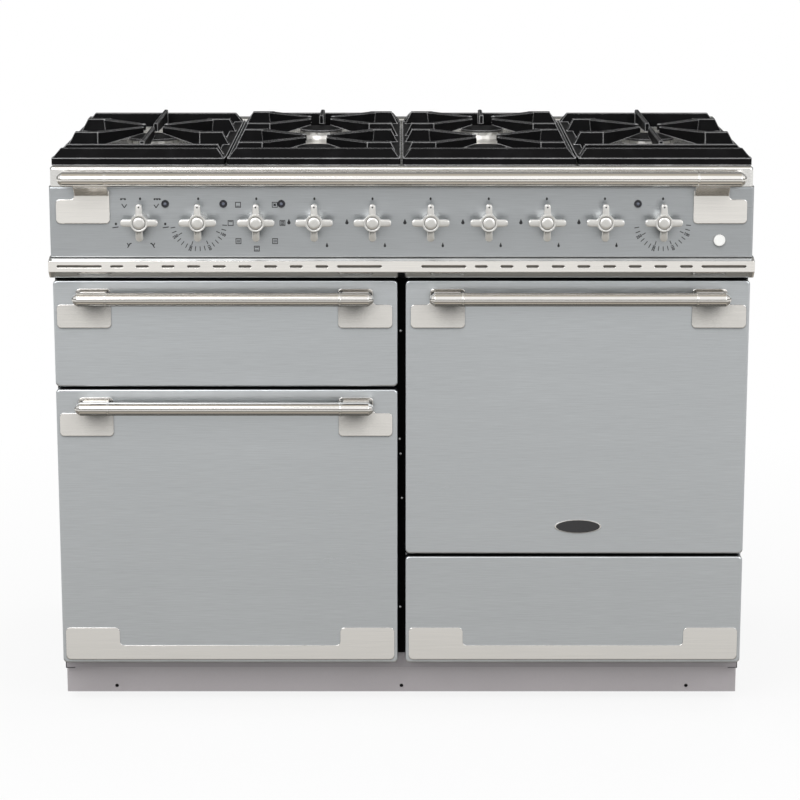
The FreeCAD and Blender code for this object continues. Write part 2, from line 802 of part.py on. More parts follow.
def kick_trim(front):
    """Polished plate across the foot of a lower front, with a raised block at each end."""
    x0, x1 = front.x0 + kick_side_inset, front.x1 - kick_side_inset
    z0 = front.z0 + kick_bottom_inset
    low, high = z0 + kick_strip_height, z0 + kick_end_height
    outline = [(x0, z0), (x1, z0), (x1, high), (x1 - kick_end_width, high), (x1 - kick_end_width, low),
               (x0 + kick_end_width, low), (x0 + kick_end_width, high), (x0, high)]
    return facing_plate(outline, face_y - kick_thickness, kick_thickness, corner_round)


def knob():
    """Cross-shaped knob about the Y axis, with its back at y 0 and its front towards -Y."""
    hub = [(0, 0), (knob_back_radius, 0), (knob_hub_radius, knob_arm_setback),
           (knob_hub_radius, knob_depth - knob_groove),
           (knob_hub_radius - knob_groove, knob_depth),
           (knob_cap_radius + knob_groove, knob_depth),
           (knob_cap_radius + knob_groove, knob_depth - knob_groove_depth),
           (knob_cap_radius, knob_depth - knob_groove_depth),
           (knob_cap_radius, knob_depth + knob_cap_rise / 2),
           (knob_cap_radius - knob_groove, knob_depth + knob_cap_rise), (0, knob_depth + knob_cap_rise)]
    pieces = [turned(hub, V(0, 0, 0), -BACKWARD)]
    arm_front = -knob_depth + knob_groove
    for width, x, z in ((knob_pointer_width, 0, 1), (knob_foot_width, 0, -1),
                        (knob_arm_width, 1, 0), (knob_arm_width, -1, 0)):
        out, across = V(x, 0, z), V(z, 0, x)
        half = width / 2
        root, end = V(0, arm_front, 0), out * (knob_arm_reach - half) + V(0, arm_front, 0)
        edges = [Part.LineSegment(root - across * half, end - across * half).toShape(),
                 Part.Arc(end - across * half, end + out * half, end + across * half).toShape(),
                 Part.LineSegment(end + across * half, root + across * half).toShape(),
                 Part.LineSegment(root + across * half, root - across * half).toShape()]
        arm = Part.Face(Part.Wire(edges)).extrude(BACKWARD * knob_arm_depth)
        rim = edges_at(arm, lambda c: abs(c.y - arm_front) < fit_gap)
        pieces.append(arm.makeChamfer(knob_arm_bevel, rim))
    body = fused(pieces)
    bore = rod(V(0, overrun, 0), V(0, -spindle_in_knob, 0), spindle_radius + fit_gap)
    return body.cut(bore)


def placed(shape, x, y, z):
    """A copy of a shape moved from the origin to a place."""
    copy = shape.copy()
    copy.translate(V(x, y, z))
    return copy


def spindle(x, gap):
    """Shaft of one control, from inside its valve or switch into its knob."""
    front = face_y - knob_clearance - spindle_in_knob + gap
    return rod(V(x, front, knob_z), V(x, face_y + sheet + spindle_in_valve, knob_z), spindle_radius)


def gas_valves():
    """Six gas taps seated behind the fascia and the pipe that feeds them."""
    pieces = []
    front, back = face_y + sheet, face_y + sheet + valve_length
    pipe_y, pipe_z = back - manifold_radius, knob_z - valve_radius - manifold_gap
    for x in gas_places:
        pieces.append(rod(V(x, front, knob_z), V(x, back, knob_z), valve_radius))
        pieces.append(rod(V(x, pipe_y, pipe_z), V(x, pipe_y, knob_z), branch_radius))
    pieces.append(rod(V(gas_places[0] - valve_radius, pipe_y, pipe_z),
                      V(gas_places[-1] + valve_radius, pipe_y, pipe_z), manifold_radius))
    body = fused(pieces)
    depth = spindle_in_valve + gas_push_travel + fit_gap
    bores = [rod(V(x, front - overrun, knob_z), V(x, front + depth, knob_z), spindle_radius + fit_gap)
             for x in gas_places]
    return body.cut(Part.makeCompound(bores))


def oven_controls():
    """Four electric switches and the cup that guides the ignition button."""
    front = face_y + sheet
    solids = []
    half = switch_side / 2
    for x in electric_places:
        body = block(x - half, x + half, front, front + switch_depth, knob_z - half, knob_z + half)
        solids.append(body.cut(rod(V(x, front - overrun, knob_z),
                                   V(x, front + spindle_in_valve + fit_gap, knob_z),
                                   spindle_radius + fit_gap)))
    bottom = face_y - button_reach + button_length + button_travel + fit_gap
    cup = rod(V(button_x, front, button_z), V(button_x, bottom + button_cup_wall, button_z),
              button_radius + fit_gap + button_cup_wall)
    solids.append(cup.cut(rod(V(button_x, front - overrun, button_z), V(button_x, bottom, button_z),
                              button_radius + fit_gap)))
    return Part.makeCompound(solids)


def indicator_lamps():
    """Small round lamps that stand in the fascia."""
    solids = []
    for x in lamp_places:
        profile = [(0, -lamp_barrel_length), (lamp_barrel_radius, -lamp_barrel_length),
                   (lamp_barrel_radius, 0), (lamp_radius, 0), (lamp_radius, lamp_reach / 2),
                   (lamp_radius - lamp_reach / 2, lamp_reach), (0, lamp_reach)]
        solids.append(turned(profile, V(x, face_y, knob_z + lamp_rise), -BACKWARD))
    return Part.makeCompound(solids)


def ignition_button():
    """Round push button for the spark ignition."""
    profile = [(0, -button_length + button_reach), (button_radius, -button_length + button_reach),
               (button_radius, button_reach - knob_groove), (button_radius - knob_groove, button_reach),
               (0, button_reach)]
    return turned(profile, V(button_x, face_y, button_z), -BACKWARD)


def burner_heads():
    """Base and crown of each burner; the crown's rim is cut into a ring of flame ports."""
    solids = []
    floor = hob_rim_z - hob_well_depth
    for x, y, share in burner_places():
        base, neck = burner_base_radius * share, burner_neck_radius * share
        crown = burner_crown_radius * share
        shoulder = burner_base_height
        top = burner_base_height + burner_crown_height
        profile = [(0, 0), (base, 0), (base - burner_base_lip, shoulder / 3), (crown, shoulder / 2),
                   (neck, shoulder), (crown, top - burner_port_height), (crown, top), (0, top)]
        head = turned(profile, V(x, y, floor), UPWARD)
        ports = []
        for i in range(burner_port_count):
            port = block(crown - burner_port_depth, crown + overrun, -burner_port_width / 2,
                         burner_port_width / 2, top - burner_port_height, top + overrun)
            port.rotate(V(0, 0, 0), UPWARD, i * 360 / burner_port_count)
            port.translate(V(x, y, floor))
            ports.append(port)
        solids.append(head.cut(Part.makeCompound(ports)))
    return Part.makeCompound(solids)


def burner_caps():
    """Enamelled cap that lies on each burner crown."""
    solids = []
    seat = hob_rim_z - hob_well_depth + burner_base_height + burner_crown_height
    for x, y, share in burner_places():
        radius = burner_cap_radius * share
        profile = [(0, 0), (radius - burner_cap_dome, 0), (radius, burner_cap_dome),
                   (radius, burner_cap_height - burner_cap_dome),
                   (radius - burner_cap_dome * 2, burner_cap_height),
                   (0, burner_cap_height + burner_cap_dome)]
        solids.append(turned(profile, V(x, y, seat), UPWARD))
    return Part.makeCompound(solids)


def tapered(x0, x1, y0, y1, z0, z1, slope_x0, slope_x1, slope_y0, slope_y1):
    """A block whose four sides lean in towards its top by the given amounts."""
    def ring(a, b, c, d, z):
        return Part.makePolygon([V(a, c, z), V(b, c, z), V(b, d, z), V(a, d, z), V(a, c, z)])
    low = ring(x0, x1, y0, y1, z0)
    high = ring(x0 + slope_x0, x1 - slope_x1, y0 + slope_y0, y1 - slope_y1, z1)
    return Part.makeLoft([low, high], True, True)


def blade(start, end, start_width, end_width, start_height, end_height):
    """A finger between two top points, tapering in width and depth, with bevelled upper edges."""
    along = (end - start).normalize()
    across = V(-along.y, along.x, 0)
    sections = []
    for point, width, height in ((start, start_width, start_height), (end, end_width, end_height)):
        half, bevel = width / 2, finger_edge
        low, high = -UPWARD * height, -UPWARD * bevel
        corners = [point + low - across * half, point + low + across * half,
                   point + high + across * half, point + across * (half - bevel),
                   point - across * (half - bevel), point + high - across * half]
        sections.append(Part.makePolygon(corners + corners[:1]))
    return Part.makeLoft(sections, True, True)


def cast_plate(x0, x1, y0, y1, z0, z1, rounded):
    """A block with rounded upright corners: all of them, or the front pair."""
    plate = block(x0, x1, y0, y1, z0, z1)
    last_y = y1 if rounded == "all" else y0
    corners = edges_at(plate, lambda c: z0 < c.z < z1 and c.y < last_y + fit_gap)
    return plate.makeFillet(ring_corner_round, corners)


def pan_support(index):
    """One cast-iron pan support: a low ring, bevelled end bars, toothed roots and wedge fingers."""
    x0, x1 = support_places()[index]
    y0, y1 = support_front_y, support_back_y
    rim, top = hob_rim_z, range_height
    centre_x = (x0 + x1) / 2
    ring_top = rim + ring_bar_height
    ring = cast_plate(x0, x1, y0, y1, rim, ring_top, "all")
    ring = ring.cut(block(x0 + ring_bar_width, x1 - ring_bar_width, y0 + end_bar_width, y1 - end_bar_width,
                          rim - overrun, ring_top + overrun))
    bar_top = rim + end_bar_rise
    face_top = rim + end_bar_face
    front_bar = cast_plate(x0, x1, y0, y0 + end_bar_width, rim, face_top, "front")
    ledge = finger_edge
    front_slope = tapered(x0 + ledge, x1 - ledge, y0 + ledge, y0 + end_bar_width, face_top, bar_top,
                          end_bar_side_slope, end_bar_side_slope, end_bar_slope - ledge, ledge)
    back_slope = tapered(x0 + ledge, x1 - ledge, y1 - end_bar_width, y1 - ledge, ring_top, bar_top,
                         end_bar_side_slope, end_bar_side_slope, ledge, end_bar_slope - ledge)
    pieces = [ring, front_bar, front_slope, back_slope]
    spread = finger_spread_outer if is_outer(index) else finger_spread_inner
    burners = [y for y, share in burners_under(index)]
    for burner_y in burners:
        for side in (-1, 1):
            edge = x0 if side < 0 else x1
            far = edge - side * tooth_length
            slopes = (tooth_slope, 0) if side < 0 else (0, tooth_slope)
            for way in (-1, 1):
                root_y = burner_y + way * spread
                pieces.append(tapered(min(edge, far), max(edge, far), root_y - tooth_width / 2,
                                      root_y + tooth_width / 2, rim, top,
                                      *slopes, tooth_side_slope, tooth_side_slope))
                root = V(far + side * finger_root_width / 2, root_y, top)
                direction = (V(centre_x, burner_y, top) - root).normalize()
                tip = V(centre_x, burner_y, top) - direction * finger_tip_gap
                pieces.append(blade(root, tip, finger_root_width, finger_tip_width,
                                    finger_root_height, finger_tip_height))
                pieces.append(rod(tip - UPWARD * finger_tip_height, tip - UPWARD * finger_edge / 2,
                                  finger_tip_width / 2))
    back_root = V(centre_x, y1 - end_bar_width / 2, top)
    pieces.append(blade(back_root, V(centre_x, burners[-1] + finger_tip_gap, top),
                        slim_finger_width, slim_finger_width, finger_root_height, slim_finger_height))
    if is_outer(index):
        bar_y = y0 + cross_bar_inset
        pieces.append(tapered(x0, x1, bar_y - cross_bar_width / 2, bar_y + cross_bar_width / 2, rim, bar_top,
                              tooth_slope, tooth_slope, finger_edge, finger_edge))
        pieces.append(blade(V(centre_x, bar_y, top), V(centre_x, burners[-1] - finger_tip_gap, top),
                            slim_finger_width, slim_finger_width, finger_root_height, slim_finger_height))
    return fused(pieces)


def cavity(front, depth):
    """Enamelled box behind a mouth, open at the front."""
    return sheet_tray(front.mouth_x0 - sheet, front.mouth_x1 + sheet, frame_back_y, frame_back_y + depth,
                      front.mouth_z0 - sheet, front.mouth_z1 + sheet, sheet, "front")


def ledge_levels(front):
    """Heights of the shelf ledges in an oven."""
    step = (front.mouth_z1 - front.mouth_z0) / (shelf_ledge_levels + 1)
    return [front.mouth_z0 + step * (i + 1) for i in range(shelf_ledge_levels)]


def oven_cavity(front):
    """Oven box with shelf ledges on both sides and a slotted fan plate at the back."""
    pieces = [cavity(front, oven_depth)]
    y0 = frame_back_y + shelf_front_gap
    for z in ledge_levels(front):
        for x in (front.mouth_x0, front.mouth_x1 - shelf_ledge_width):
            pieces.append(block(x, x + shelf_ledge_width, y0, y0 + shelf_depth, z - shelf_ledge_height, z))
    centre_x, centre_z = (front.mouth_x0 + front.mouth_x1) / 2, (front.mouth_z0 + front.mouth_z1) / 2
    back = frame_back_y + oven_depth - sheet
    plate_y = back - fan_plate_thickness
    disc = rod(V(centre_x, plate_y, centre_z), V(centre_x, back, centre_z), fan_plate_radius)
    slots = []
    for i in range(fan_slot_count):
        slot = block(fan_plate_radius - fan_slot_length - fan_slot_width, fan_plate_radius - fan_slot_width,
                     -overrun, fan_plate_thickness, -fan_slot_width / 2, fan_slot_width / 2)
        slot.rotate(V(0, 0, 0), BACKWARD, i * 360 / fan_slot_count)
        slot.translate(V(centre_x, plate_y, centre_z))
        slots.append(slot)
    pieces.append(disc.cut(Part.makeCompound(slots)))
    return fused(pieces)


def wire_shelf(x0, x1, y0, y1, z, count, radius):
    """A rack of round cross wires between two thicker side wires."""
    pieces = [rod(V(x0, y0, z), V(x0, y1, z), radius), rod(V(x1, y0, z), V(x1, y1, z), radius)]
    step = (y1 - y0 - 2 * radius) / (count - 1)
    for i in range(count):
        y = y0 + radius + i * step
        pieces.append(rod(V(x0, y, z), V(x1, y, z), radius * cross_wire_share))
    return fused(pieces)


def oven_shelves():
    """Chromed wire shelves: one in the left oven, two in the right."""
    solids = []
    for front, levels in ((left_oven, (1,)), (right_oven, (0, 1))):
        for level in levels:
            z = ledge_levels(front)[level] + shelf_wire_radius
            inset = shelf_wire_radius * 2
            solids.append(wire_shelf(front.mouth_x0 + inset, front.mouth_x1 - inset,
                                     frame_back_y + shelf_front_gap,
                                     frame_back_y + shelf_front_gap + shelf_depth, z,
                                     shelf_wire_count, shelf_wire_radius))
    return Part.makeCompound(solids)


def oven_seals():
    """Soft gasket round each oven mouth, on the face frame."""
    solids = []
    for front in ovens:
        def ring(offset):
            return facing_plate([(front.mouth_x0 - offset, front.mouth_z0 - offset),
                                 (front.mouth_x1 + offset, front.mouth_z0 - offset),
                                 (front.mouth_x1 + offset, front.mouth_z1 + offset),
                                 (front.mouth_x0 - offset, front.mouth_z1 + offset)],
                                frame_front_y - seal_thickness, seal_thickness, corner_round)
        solids.append(ring(seal_overlap + seal_width).cut(ring(seal_overlap)))
    return Part.makeCompound(solids)


def grill_element():
    """Grill element: a tube bent to and fro under the roof of the grill."""
    z = grill.mouth_z1 - element_drop
    back = frame_back_y + grill_depth - sheet
    y1 = back - element_back_inset
    x0, x1 = grill.mouth_x0 + element_side_inset, grill.mouth_x1 - element_side_inset
    turn_radius = element_bend_radius
    ys = [y1 - i * 2 * turn_radius for i in range(element_bends + 1)]
    edges = [Part.LineSegment(V(x0, back, z), V(x0, ys[0] + turn_radius, z)).toShape()]
    corner = turn_radius * (1 - math.sqrt(0.5))
    edges.append(Part.Arc(V(x0, ys[0] + turn_radius, z), V(x0 + corner, ys[0] + corner, z),
                          V(x0 + turn_radius, ys[0], z)).toShape())
    start = V(x0 + turn_radius, ys[0], z)
    for i, y in enumerate(ys):
        rightward = i % 2 == 0
        stop = V(x1 - turn_radius if rightward else x0 + turn_radius, y, z)
        edges.append(Part.LineSegment(start, stop).toShape())
        if i < len(ys) - 1:
            bulge = turn_radius if rightward else -turn_radius
            end = V(stop.x, ys[i + 1], z)
            edges.append(Part.Arc(stop, V(stop.x + bulge, y - turn_radius, z), end).toShape())
            start = end
    path = Part.Wire(edges)
    ring = Part.Wire(Part.makeCircle(element_radius, V(x0, back, z), -BACKWARD))
    return path.makePipeShell([ring], True, False)


grill_channel_z = grill.mouth_z1 - grill_channel_below_mouth_top


def drawer_runners():
    """Fixed channels: a pair in the grill and a pair beside the storage drawer."""
    solids = []
    t = frame_sheet
    z0, z1 = grill_channel_z, grill_channel_z + grill_channel_height
    for wall_x, way in ((grill.mouth_x0, 1), (grill.mouth_x1, -1)):
        out = wall_x + way * grill_channel_width
        web = wall_x + way * t
        outline = [(wall_x, z0), (out, z0), (out, z0 + t), (web, z0 + t),
                   (web, z1 - t), (out, z1 - t), (out, z1), (wall_x, z1)]
        solids.append(front_profile(outline, frame_back_y, frame_back_y + grill_channel_length))
    bar_z = storage.mouth_z0 + storage_box_gap + storage_bar_lift
    z0 = bar_z - fit_gap - t
    z1 = bar_z + storage_bar_height + fit_gap + t
    box_x0, box_x1 = storage_box_sides()
    for wall_x, way, side_x in ((partition_x, 1, box_x0), (inner_x, -1, box_x1)):
        out = side_x - way * storage_channel_gap
        web = side_x - way * (storage_bar_width + fit_gap)
        outline = [(wall_x, z0), (out, z0), (out, z0 + t), (web, z0 + t),
                   (web, z1 - t), (out, z1 - t), (out, z1), (wall_x, z1)]
        solids.append(front_profile(outline, frame_back_y, frame_back_y + storage_channel_length))
    return Part.makeCompound(solids)


def storage_box_sides():
    """Outer faces of the storage box."""
    inset = storage_box_gap + storage_bar_width
    return storage.mouth_x0 + inset, storage.mouth_x1 - inset


def storage_box():
    """Open drawer box behind the storage front, with a sliding bar on each side."""
    x0, x1 = storage_box_sides()
    y0 = face_y + skin_depth
    z0, z1 = storage.mouth_z0 + storage_box_gap, storage.mouth_z1 - storage_box_head_gap
    box = sheet_tray(x0, x1, y0, y0 + storage_box_depth, z0, z1, sheet, "top")
    cover = block(storage.x0 + liner_side_inset, storage.x1 - liner_side_inset, y0, y0 + liner_sheet,
                  storage.z0 + liner_side_inset, storage.z1 - liner_side_inset)
    bar_z = z0 + storage_bar_lift
    bars = [block(a, b, frame_back_y + overrun, y0 + storage_box_depth, bar_z, bar_z + storage_bar_height)
            for a, b in ((x0 - storage_bar_width, x0), (x1, x1 + storage_bar_width))]
    return fused([box, cover] + bars)


def grill_drawer_front():
    """Front of the glide-out grill: the outer pressing and the plate that closes its back."""
    inset = liner_side_inset
    y = face_y + skin_depth
    cover = facing_plate([(grill.x0 + inset, grill.z0 + inset), (grill.x1 - inset, grill.z0 + inset),
                          (grill.x1 - inset, grill.z1 - inset), (grill.x0 + inset, grill.z1 - inset)],
                         y, liner_sheet, corner_round)
    return Part.makeCompound([door_skin(grill), cover])


def grill_drawer_carriage():
    """Cradle of the grill pan: two bars with ledges, joined by a cross bar behind the front."""
    t = frame_sheet
    z0 = grill_channel_z + t + fit_gap
    z1 = grill_channel_z + grill_channel_height - t - fit_gap
    y0, y1 = door_back_y, door_back_y + grill_channel_length
    pieces = []
    for wall_x, way in ((grill.mouth_x0, 1), (grill.mouth_x1, -1)):
        near = wall_x + way * (t + fit_gap)
        far = near + way * grill_bar_width
        ledge = far + way * grill_ledge_width
        outline = [(near, z0), (ledge, z0), (ledge, z0 + t), (far, z0 + t), (far, z1), (near, z1)]
        pieces.append(front_profile(outline, y0, y1))
    left = grill.mouth_x0 + t + fit_gap + grill_bar_width
    right = grill.mouth_x1 - t - fit_gap - grill_bar_width
    pieces.append(block(left - t, right + t, y0, y0 + t, z0, z1))
    return fused(pieces)


def grill_pan():
    """Enamelled pan that hangs by its rim in the cradle, and the wire rack that stands in it."""
    t = frame_sheet
    ledge_z = grill_channel_z + t + fit_gap + t
    near = t + fit_gap + grill_bar_width
    x0, x1 = grill.mouth_x0 + near + fit_gap * 2, grill.mouth_x1 - near - fit_gap * 2
    y0 = door_back_y + grill_pan_front_gap
    y1 = y0 + grill_pan_depth
    rim = block(x0, x1, y0, y1, ledge_z, ledge_z + sheet)
    lip = grill_ledge_width + fit_gap
    bx0, bx1, by0, by1 = x0 + lip, x1 - lip, y0 + lip, y1 - lip
    body = block(bx0, bx1, by0, by1, ledge_z - grill_pan_drop, ledge_z + sheet)
    hollow = block(bx0 + sheet, bx1 - sheet, by0 + sheet, by1 - sheet,
                   ledge_z - grill_pan_drop + sheet, ledge_z + sheet + overrun)
    pan = rim.fuse(body).cut(hollow).removeSplitter()
    floor = ledge_z - grill_pan_drop + sheet
    inset = grill_rack_inset
    rack = wire_shelf(bx0 + inset, bx1 - inset, by0 + inset, by1 - inset, floor + grill_rack_lift,
                      grill_rack_count, grill_rack_wire)
    legs = [rod(V(x, y, floor), V(x, y, floor + grill_rack_lift), grill_rack_wire)
            for x in (bx0 + inset, bx1 - inset) for y in (by0 + inset * 2, by1 - inset * 2)]
    return Part.makeCompound([pan, fused([rack] + legs)])


def levelling_feet():
    """Two screw feet behind the plinth."""
    y = face_y + foot_behind_face
    solids = []
    for x in (-half_body + foot_inset_x, half_body - foot_inset_x):
        profile = [(0, 0), (foot_radius, 0), (foot_radius, foot_height / 2),
                   (foot_stem_radius * 2, foot_height), (foot_stem_radius, foot_height),
                   (foot_stem_radius, floor_z), (0, floor_z)]
        solids.append(turned(profile, V(x, y, 0), UPWARD))
    return Part.makeCompound(solids)


def rear_rollers():
    """Two rollers on one axle under the back."""
    pieces = [rod(V(-half_body + roller_inset_x / 2, roller_y, roller_radius),
                  V(half_body - roller_inset_x / 2, roller_y, roller_radius), roller_axle_radius)]
    for x in roller_places():
        pieces.append(rod(V(x - roller_width / 2, roller_y, roller_radius),
                          V(x + roller_width / 2, roller_y, roller_radius), roller_radius))
    return fused(pieces)


def nodes():
    """Every named piece of the cooker."""
    right_side = side_panel()
    pieces = {
        "left_side_panel": mirrored(right_side),
        "right_side_panel": right_side,
        "back_panel": back_panel(),
        "base_pan": base_pan(),
        "plinth": plinth(),
        "front_frame": front_frame(),
        "hob_tray": hob_tray(),
        "rear_trim": rear_trim(),
        "control_panel": control_panel(),
        "vent_strip": vent_strip(),
        "front_rail": front_rail(),
        "burner_heads": burner_heads(),
        "burner_caps": burner_caps(),
        "grill_cavity": cavity(grill, grill_depth),
        "left_oven_cavity": oven_cavity(left_oven),
        "right_oven_cavity": oven_cavity(right_oven),
        "grill_element": grill_element(),
        "oven_shelves": oven_shelves(),
        "oven_seals": oven_seals(),
        "gas_valves": gas_valves(),
        "oven_controls": oven_controls(),
        "indicator_lamps": indicator_lamps(),
        "ignition_button": ignition_button(),
        "levelling_feet": levelling_feet(),
        "rear_rollers": rear_rollers(),
        "drawer_runners": drawer_runners(),
        "grill_drawer_front": grill_drawer_front(),
        "grill_drawer_handle": handle(grill),
        "grill_drawer_carriage": grill_drawer_carriage(),
        "grill_pan": grill_pan(),
        "left_oven_door": oven_door_skin(left_oven),
        "left_oven_door_liner": door_liner(left_oven),
        "left_oven_door_handle": handle(left_oven),
        "left_oven_kick_trim": kick_trim(left_oven),
        "right_oven_door": oven_door_skin(right_oven),
        "right_oven_door_liner": door_liner(right_oven),
        "right_oven_door_handle": handle(right_oven),
        "storage_drawer_front": door_skin(storage),
        "storage_drawer_box": storage_box(),
        "storage_drawer_kick_trim": kick_trim(storage),
    }
    for i, name in enumerate(support_names):
        pieces["pan_support_" + name] = pan_support(i)
    one_knob = knob()
    for name, x in knob_places.items():
        body = placed(one_knob, x, face_y - knob_clearance, knob_z)
        shaft = spindle(x, fit_gap)
        if name.startswith("gas"):
            pieces[name] = body
            pieces[name.replace("knob", "spindle")] = shaft
        else:
            pieces[name] = Part.makeCompound([body, shaft])
    return pieces


os.makedirs("parts", exist_ok=True)
for name, shape in nodes().items():
    shape.exportStep("parts/" + name + ".step")
    print(name, "valid", shape.isValid(), "solids", len(shape.Solids), "volume", round(shape.Volume))
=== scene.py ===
"""Range cooker: finishes, panel marks, small hardware, studio and camera."""
import json
import math

import bmesh
import bpy
from mathutils import Euler, Matrix, Vector

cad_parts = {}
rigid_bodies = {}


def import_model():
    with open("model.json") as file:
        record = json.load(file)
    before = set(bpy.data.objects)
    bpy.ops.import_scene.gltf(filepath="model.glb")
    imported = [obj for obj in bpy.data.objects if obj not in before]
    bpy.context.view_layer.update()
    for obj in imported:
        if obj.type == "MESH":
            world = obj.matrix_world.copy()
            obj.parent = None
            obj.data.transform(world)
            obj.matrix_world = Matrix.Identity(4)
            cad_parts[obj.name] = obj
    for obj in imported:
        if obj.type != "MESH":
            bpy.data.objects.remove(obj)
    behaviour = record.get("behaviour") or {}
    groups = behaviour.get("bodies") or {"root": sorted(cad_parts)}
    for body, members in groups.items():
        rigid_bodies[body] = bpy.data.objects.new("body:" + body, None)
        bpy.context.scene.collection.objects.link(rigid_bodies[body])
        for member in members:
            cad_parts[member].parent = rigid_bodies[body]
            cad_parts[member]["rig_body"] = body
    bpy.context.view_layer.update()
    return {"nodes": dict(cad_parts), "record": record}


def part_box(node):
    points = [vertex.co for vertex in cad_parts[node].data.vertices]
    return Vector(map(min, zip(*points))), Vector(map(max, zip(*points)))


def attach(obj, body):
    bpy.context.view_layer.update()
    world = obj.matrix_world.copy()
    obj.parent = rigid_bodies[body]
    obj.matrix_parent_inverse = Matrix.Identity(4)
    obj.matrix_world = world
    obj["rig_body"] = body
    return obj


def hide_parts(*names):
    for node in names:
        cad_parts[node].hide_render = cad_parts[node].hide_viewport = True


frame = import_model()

bl_info = {
    "name": "Range cooker",
    "version": (1, 0, 0),
    "blender": (4, 5, 0),
    "location": "View3D > Sidebar > Cooker",
    "description": "Finishes and details of a 110 cm range cooker, with its studio",
    "category": "Object",
}

MM = 0.001
TURN = math.tau
# Points closer than this are one point
WELD = 0.001 * MM
# Points closer than this lie on the same line or face
NEAR = 0.01 * MM


def box_middle(node):
    """The middle of a CAD piece's box."""
    low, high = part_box(node)
    return (low + high) / 2


def knob_nodes():
    """The names of the ten knobs."""
    return [part["node"] for part in frame["record"]["subparts"]
            if part["material_slot"] == "knob_metal"]


# Shader sums


class Wire:
    """A shader output that takes part in sums: each operator adds one Math node."""

    def __init__(self, finish, socket):
        self.finish = finish
        self.socket = socket

    def math(self, operation, first, second):
        return self.finish.add("Math", {"operation": operation}, {0: first, 1: second})

    def __add__(self, other):
        return self.math("ADD", self, other)

    def __radd__(self, other):
        return self.math("ADD", other, self)

    def __sub__(self, other):
        return self.math("SUBTRACT", self, other)

    def __rsub__(self, other):
        return self.math("SUBTRACT", other, self)

    def __mul__(self, other):
        return self.math("MULTIPLY", self, other)

    def __rmul__(self, other):
        return self.math("MULTIPLY", other, self)


class Finish:
    """The nodes of one material or of the world, added one by one."""

    def __init__(self, owner):
        owner.use_nodes = True
        self.owner = owner
        self.tree = owner.node_tree
        self.tree.nodes.clear()

    def add(self, kind, settings, inputs, output=0):
        """One node of a type: its settings first, then the values or wires of its sockets."""
        node = self.tree.nodes.new("ShaderNode" + kind)
        for name, value in settings.items():
            if name == "stops":
                for stop in value[len(node.color_ramp.elements):]:
                    node.color_ramp.elements.new(stop[0])
                for element, stop in zip(node.color_ramp.elements, value):
                    element.position, element.color = stop
            else:
                setattr(node, name, value)
        for name, value in inputs.items():
            if isinstance(value, Wire):
                self.tree.links.new(value.socket, node.inputs[name])
            else:
                node.inputs[name].default_value = value
        return Wire(self, node.outputs[output]) if node.outputs else None

    def where(self, stretch=(1.0, 1.0, 1.0)):
        """Object coordinates in metres, stretched along each axis."""
        place = self.add("TexCoord", {}, {}, "Object")
        return self.add("Mapping", {}, {"Vector": place, "Scale": stretch})

    def along(self, axis):
        """The place along one axis in metres: 0 for X, 1 for Y, 2 for Z."""
        return self.add("SeparateXYZ", {}, {0: self.where()}, axis)

    def noise(self, stretch, detail=2.0):
        """Soft random values round one half; a single number stretches all three axes."""
        if isinstance(stretch, float):
            stretch = (stretch, stretch, stretch)
        return self.add("TexNoise", {},
                        {"Vector": self.where(stretch), "Scale": 1.0, "Detail": detail})

    def cells(self, stretch, output=0):
        """Small cells: the distance to the middle of each, or its own colour."""
        return self.add("TexVoronoi", {},
                        {"Vector": self.where((stretch, stretch, stretch)), "Scale": 1.0}, output)

    def steep(self, value, low=0.3, high=0.7):
        """Stretches the values between two levels to run from zero to one."""
        return self.add("MapRange", {"clamp": True},
                        {"Value": value, "From Min": low, "From Max": high})

    def blend(self, first, second, factor):
        """One colour passing into another."""
        return self.add("Mix", {"data_type": "RGBA"}, {0: factor, 6: first, 7: second}, 2)

    def edges(self, width):
        """One along the edges and corners of the shape, passing to zero within a width of them."""
        rounded = self.add("Bevel", {"samples": 6}, {"Radius": width})
        flat = self.add("NewGeometry", {}, {}, "Normal")
        likeness = self.add("VectorMath", {"operation": "DOT_PRODUCT"}, {0: rounded, 1: flat},
                            "Value")
        return self.steep(1 - likeness, 0.02, 0.25)

    def open_sky(self, reach):
        """How open a place is to light from above: one in the open, less under a ledge or a bar."""
        normal = self.add("NewGeometry", {}, {}, "Normal")
        lifted = self.add("VectorMath", {"operation": "ADD"}, {0: normal, 1: LIGHT_FROM})
        upward = self.add("VectorMath", {"operation": "NORMALIZE"}, {0: lifted})
        return self.add("AmbientOcclusion", {"samples": 8},
                        {"Distance": reach, "Normal": upward}, "AO")

    def with_painted_shade(self, colour, reach, depth):
        """A colour with painted shade: it darkens by a depth where something close above takes the
        light.
        """
        # Painted shade: darker where something above blocks the light from above
        painted_shade = 1 - self.steep(self.open_sky(reach), 0.15, 0.6)
        return self.blend(colour, PAINTED_SHADE_COLOUR, painted_shade * depth)

    def bump(self, height, strength, rise):
        """A bumped normal from a height and the rise in metres at its top."""
        return self.add("Bump", {}, {"Height": height, "Strength": strength, "Distance": rise})

    def softened(self, width):
        """A normal that bends over the edges of the shape as if they were rounded."""
        return self.add("Bevel", {"samples": 8}, {"Radius": width})

    def surface(self, **sockets):
        """Closes a material with a Principled shader."""
        names = {key.replace("_", " "): value for key, value in sockets.items()}
        shader = self.add("BsdfPrincipled", {}, names)
        self.add("OutputMaterial", {}, {"Surface": shader})
        return self.owner


def new_finish(name):
    """A finish on a new material."""
    return Finish(bpy.data.materials.new(name))


def shade(colour, share):
    """A colour made darker or lighter by a share."""
    return tuple(channel * share for channel in colour[:3]) + (1.0,)


# Materials

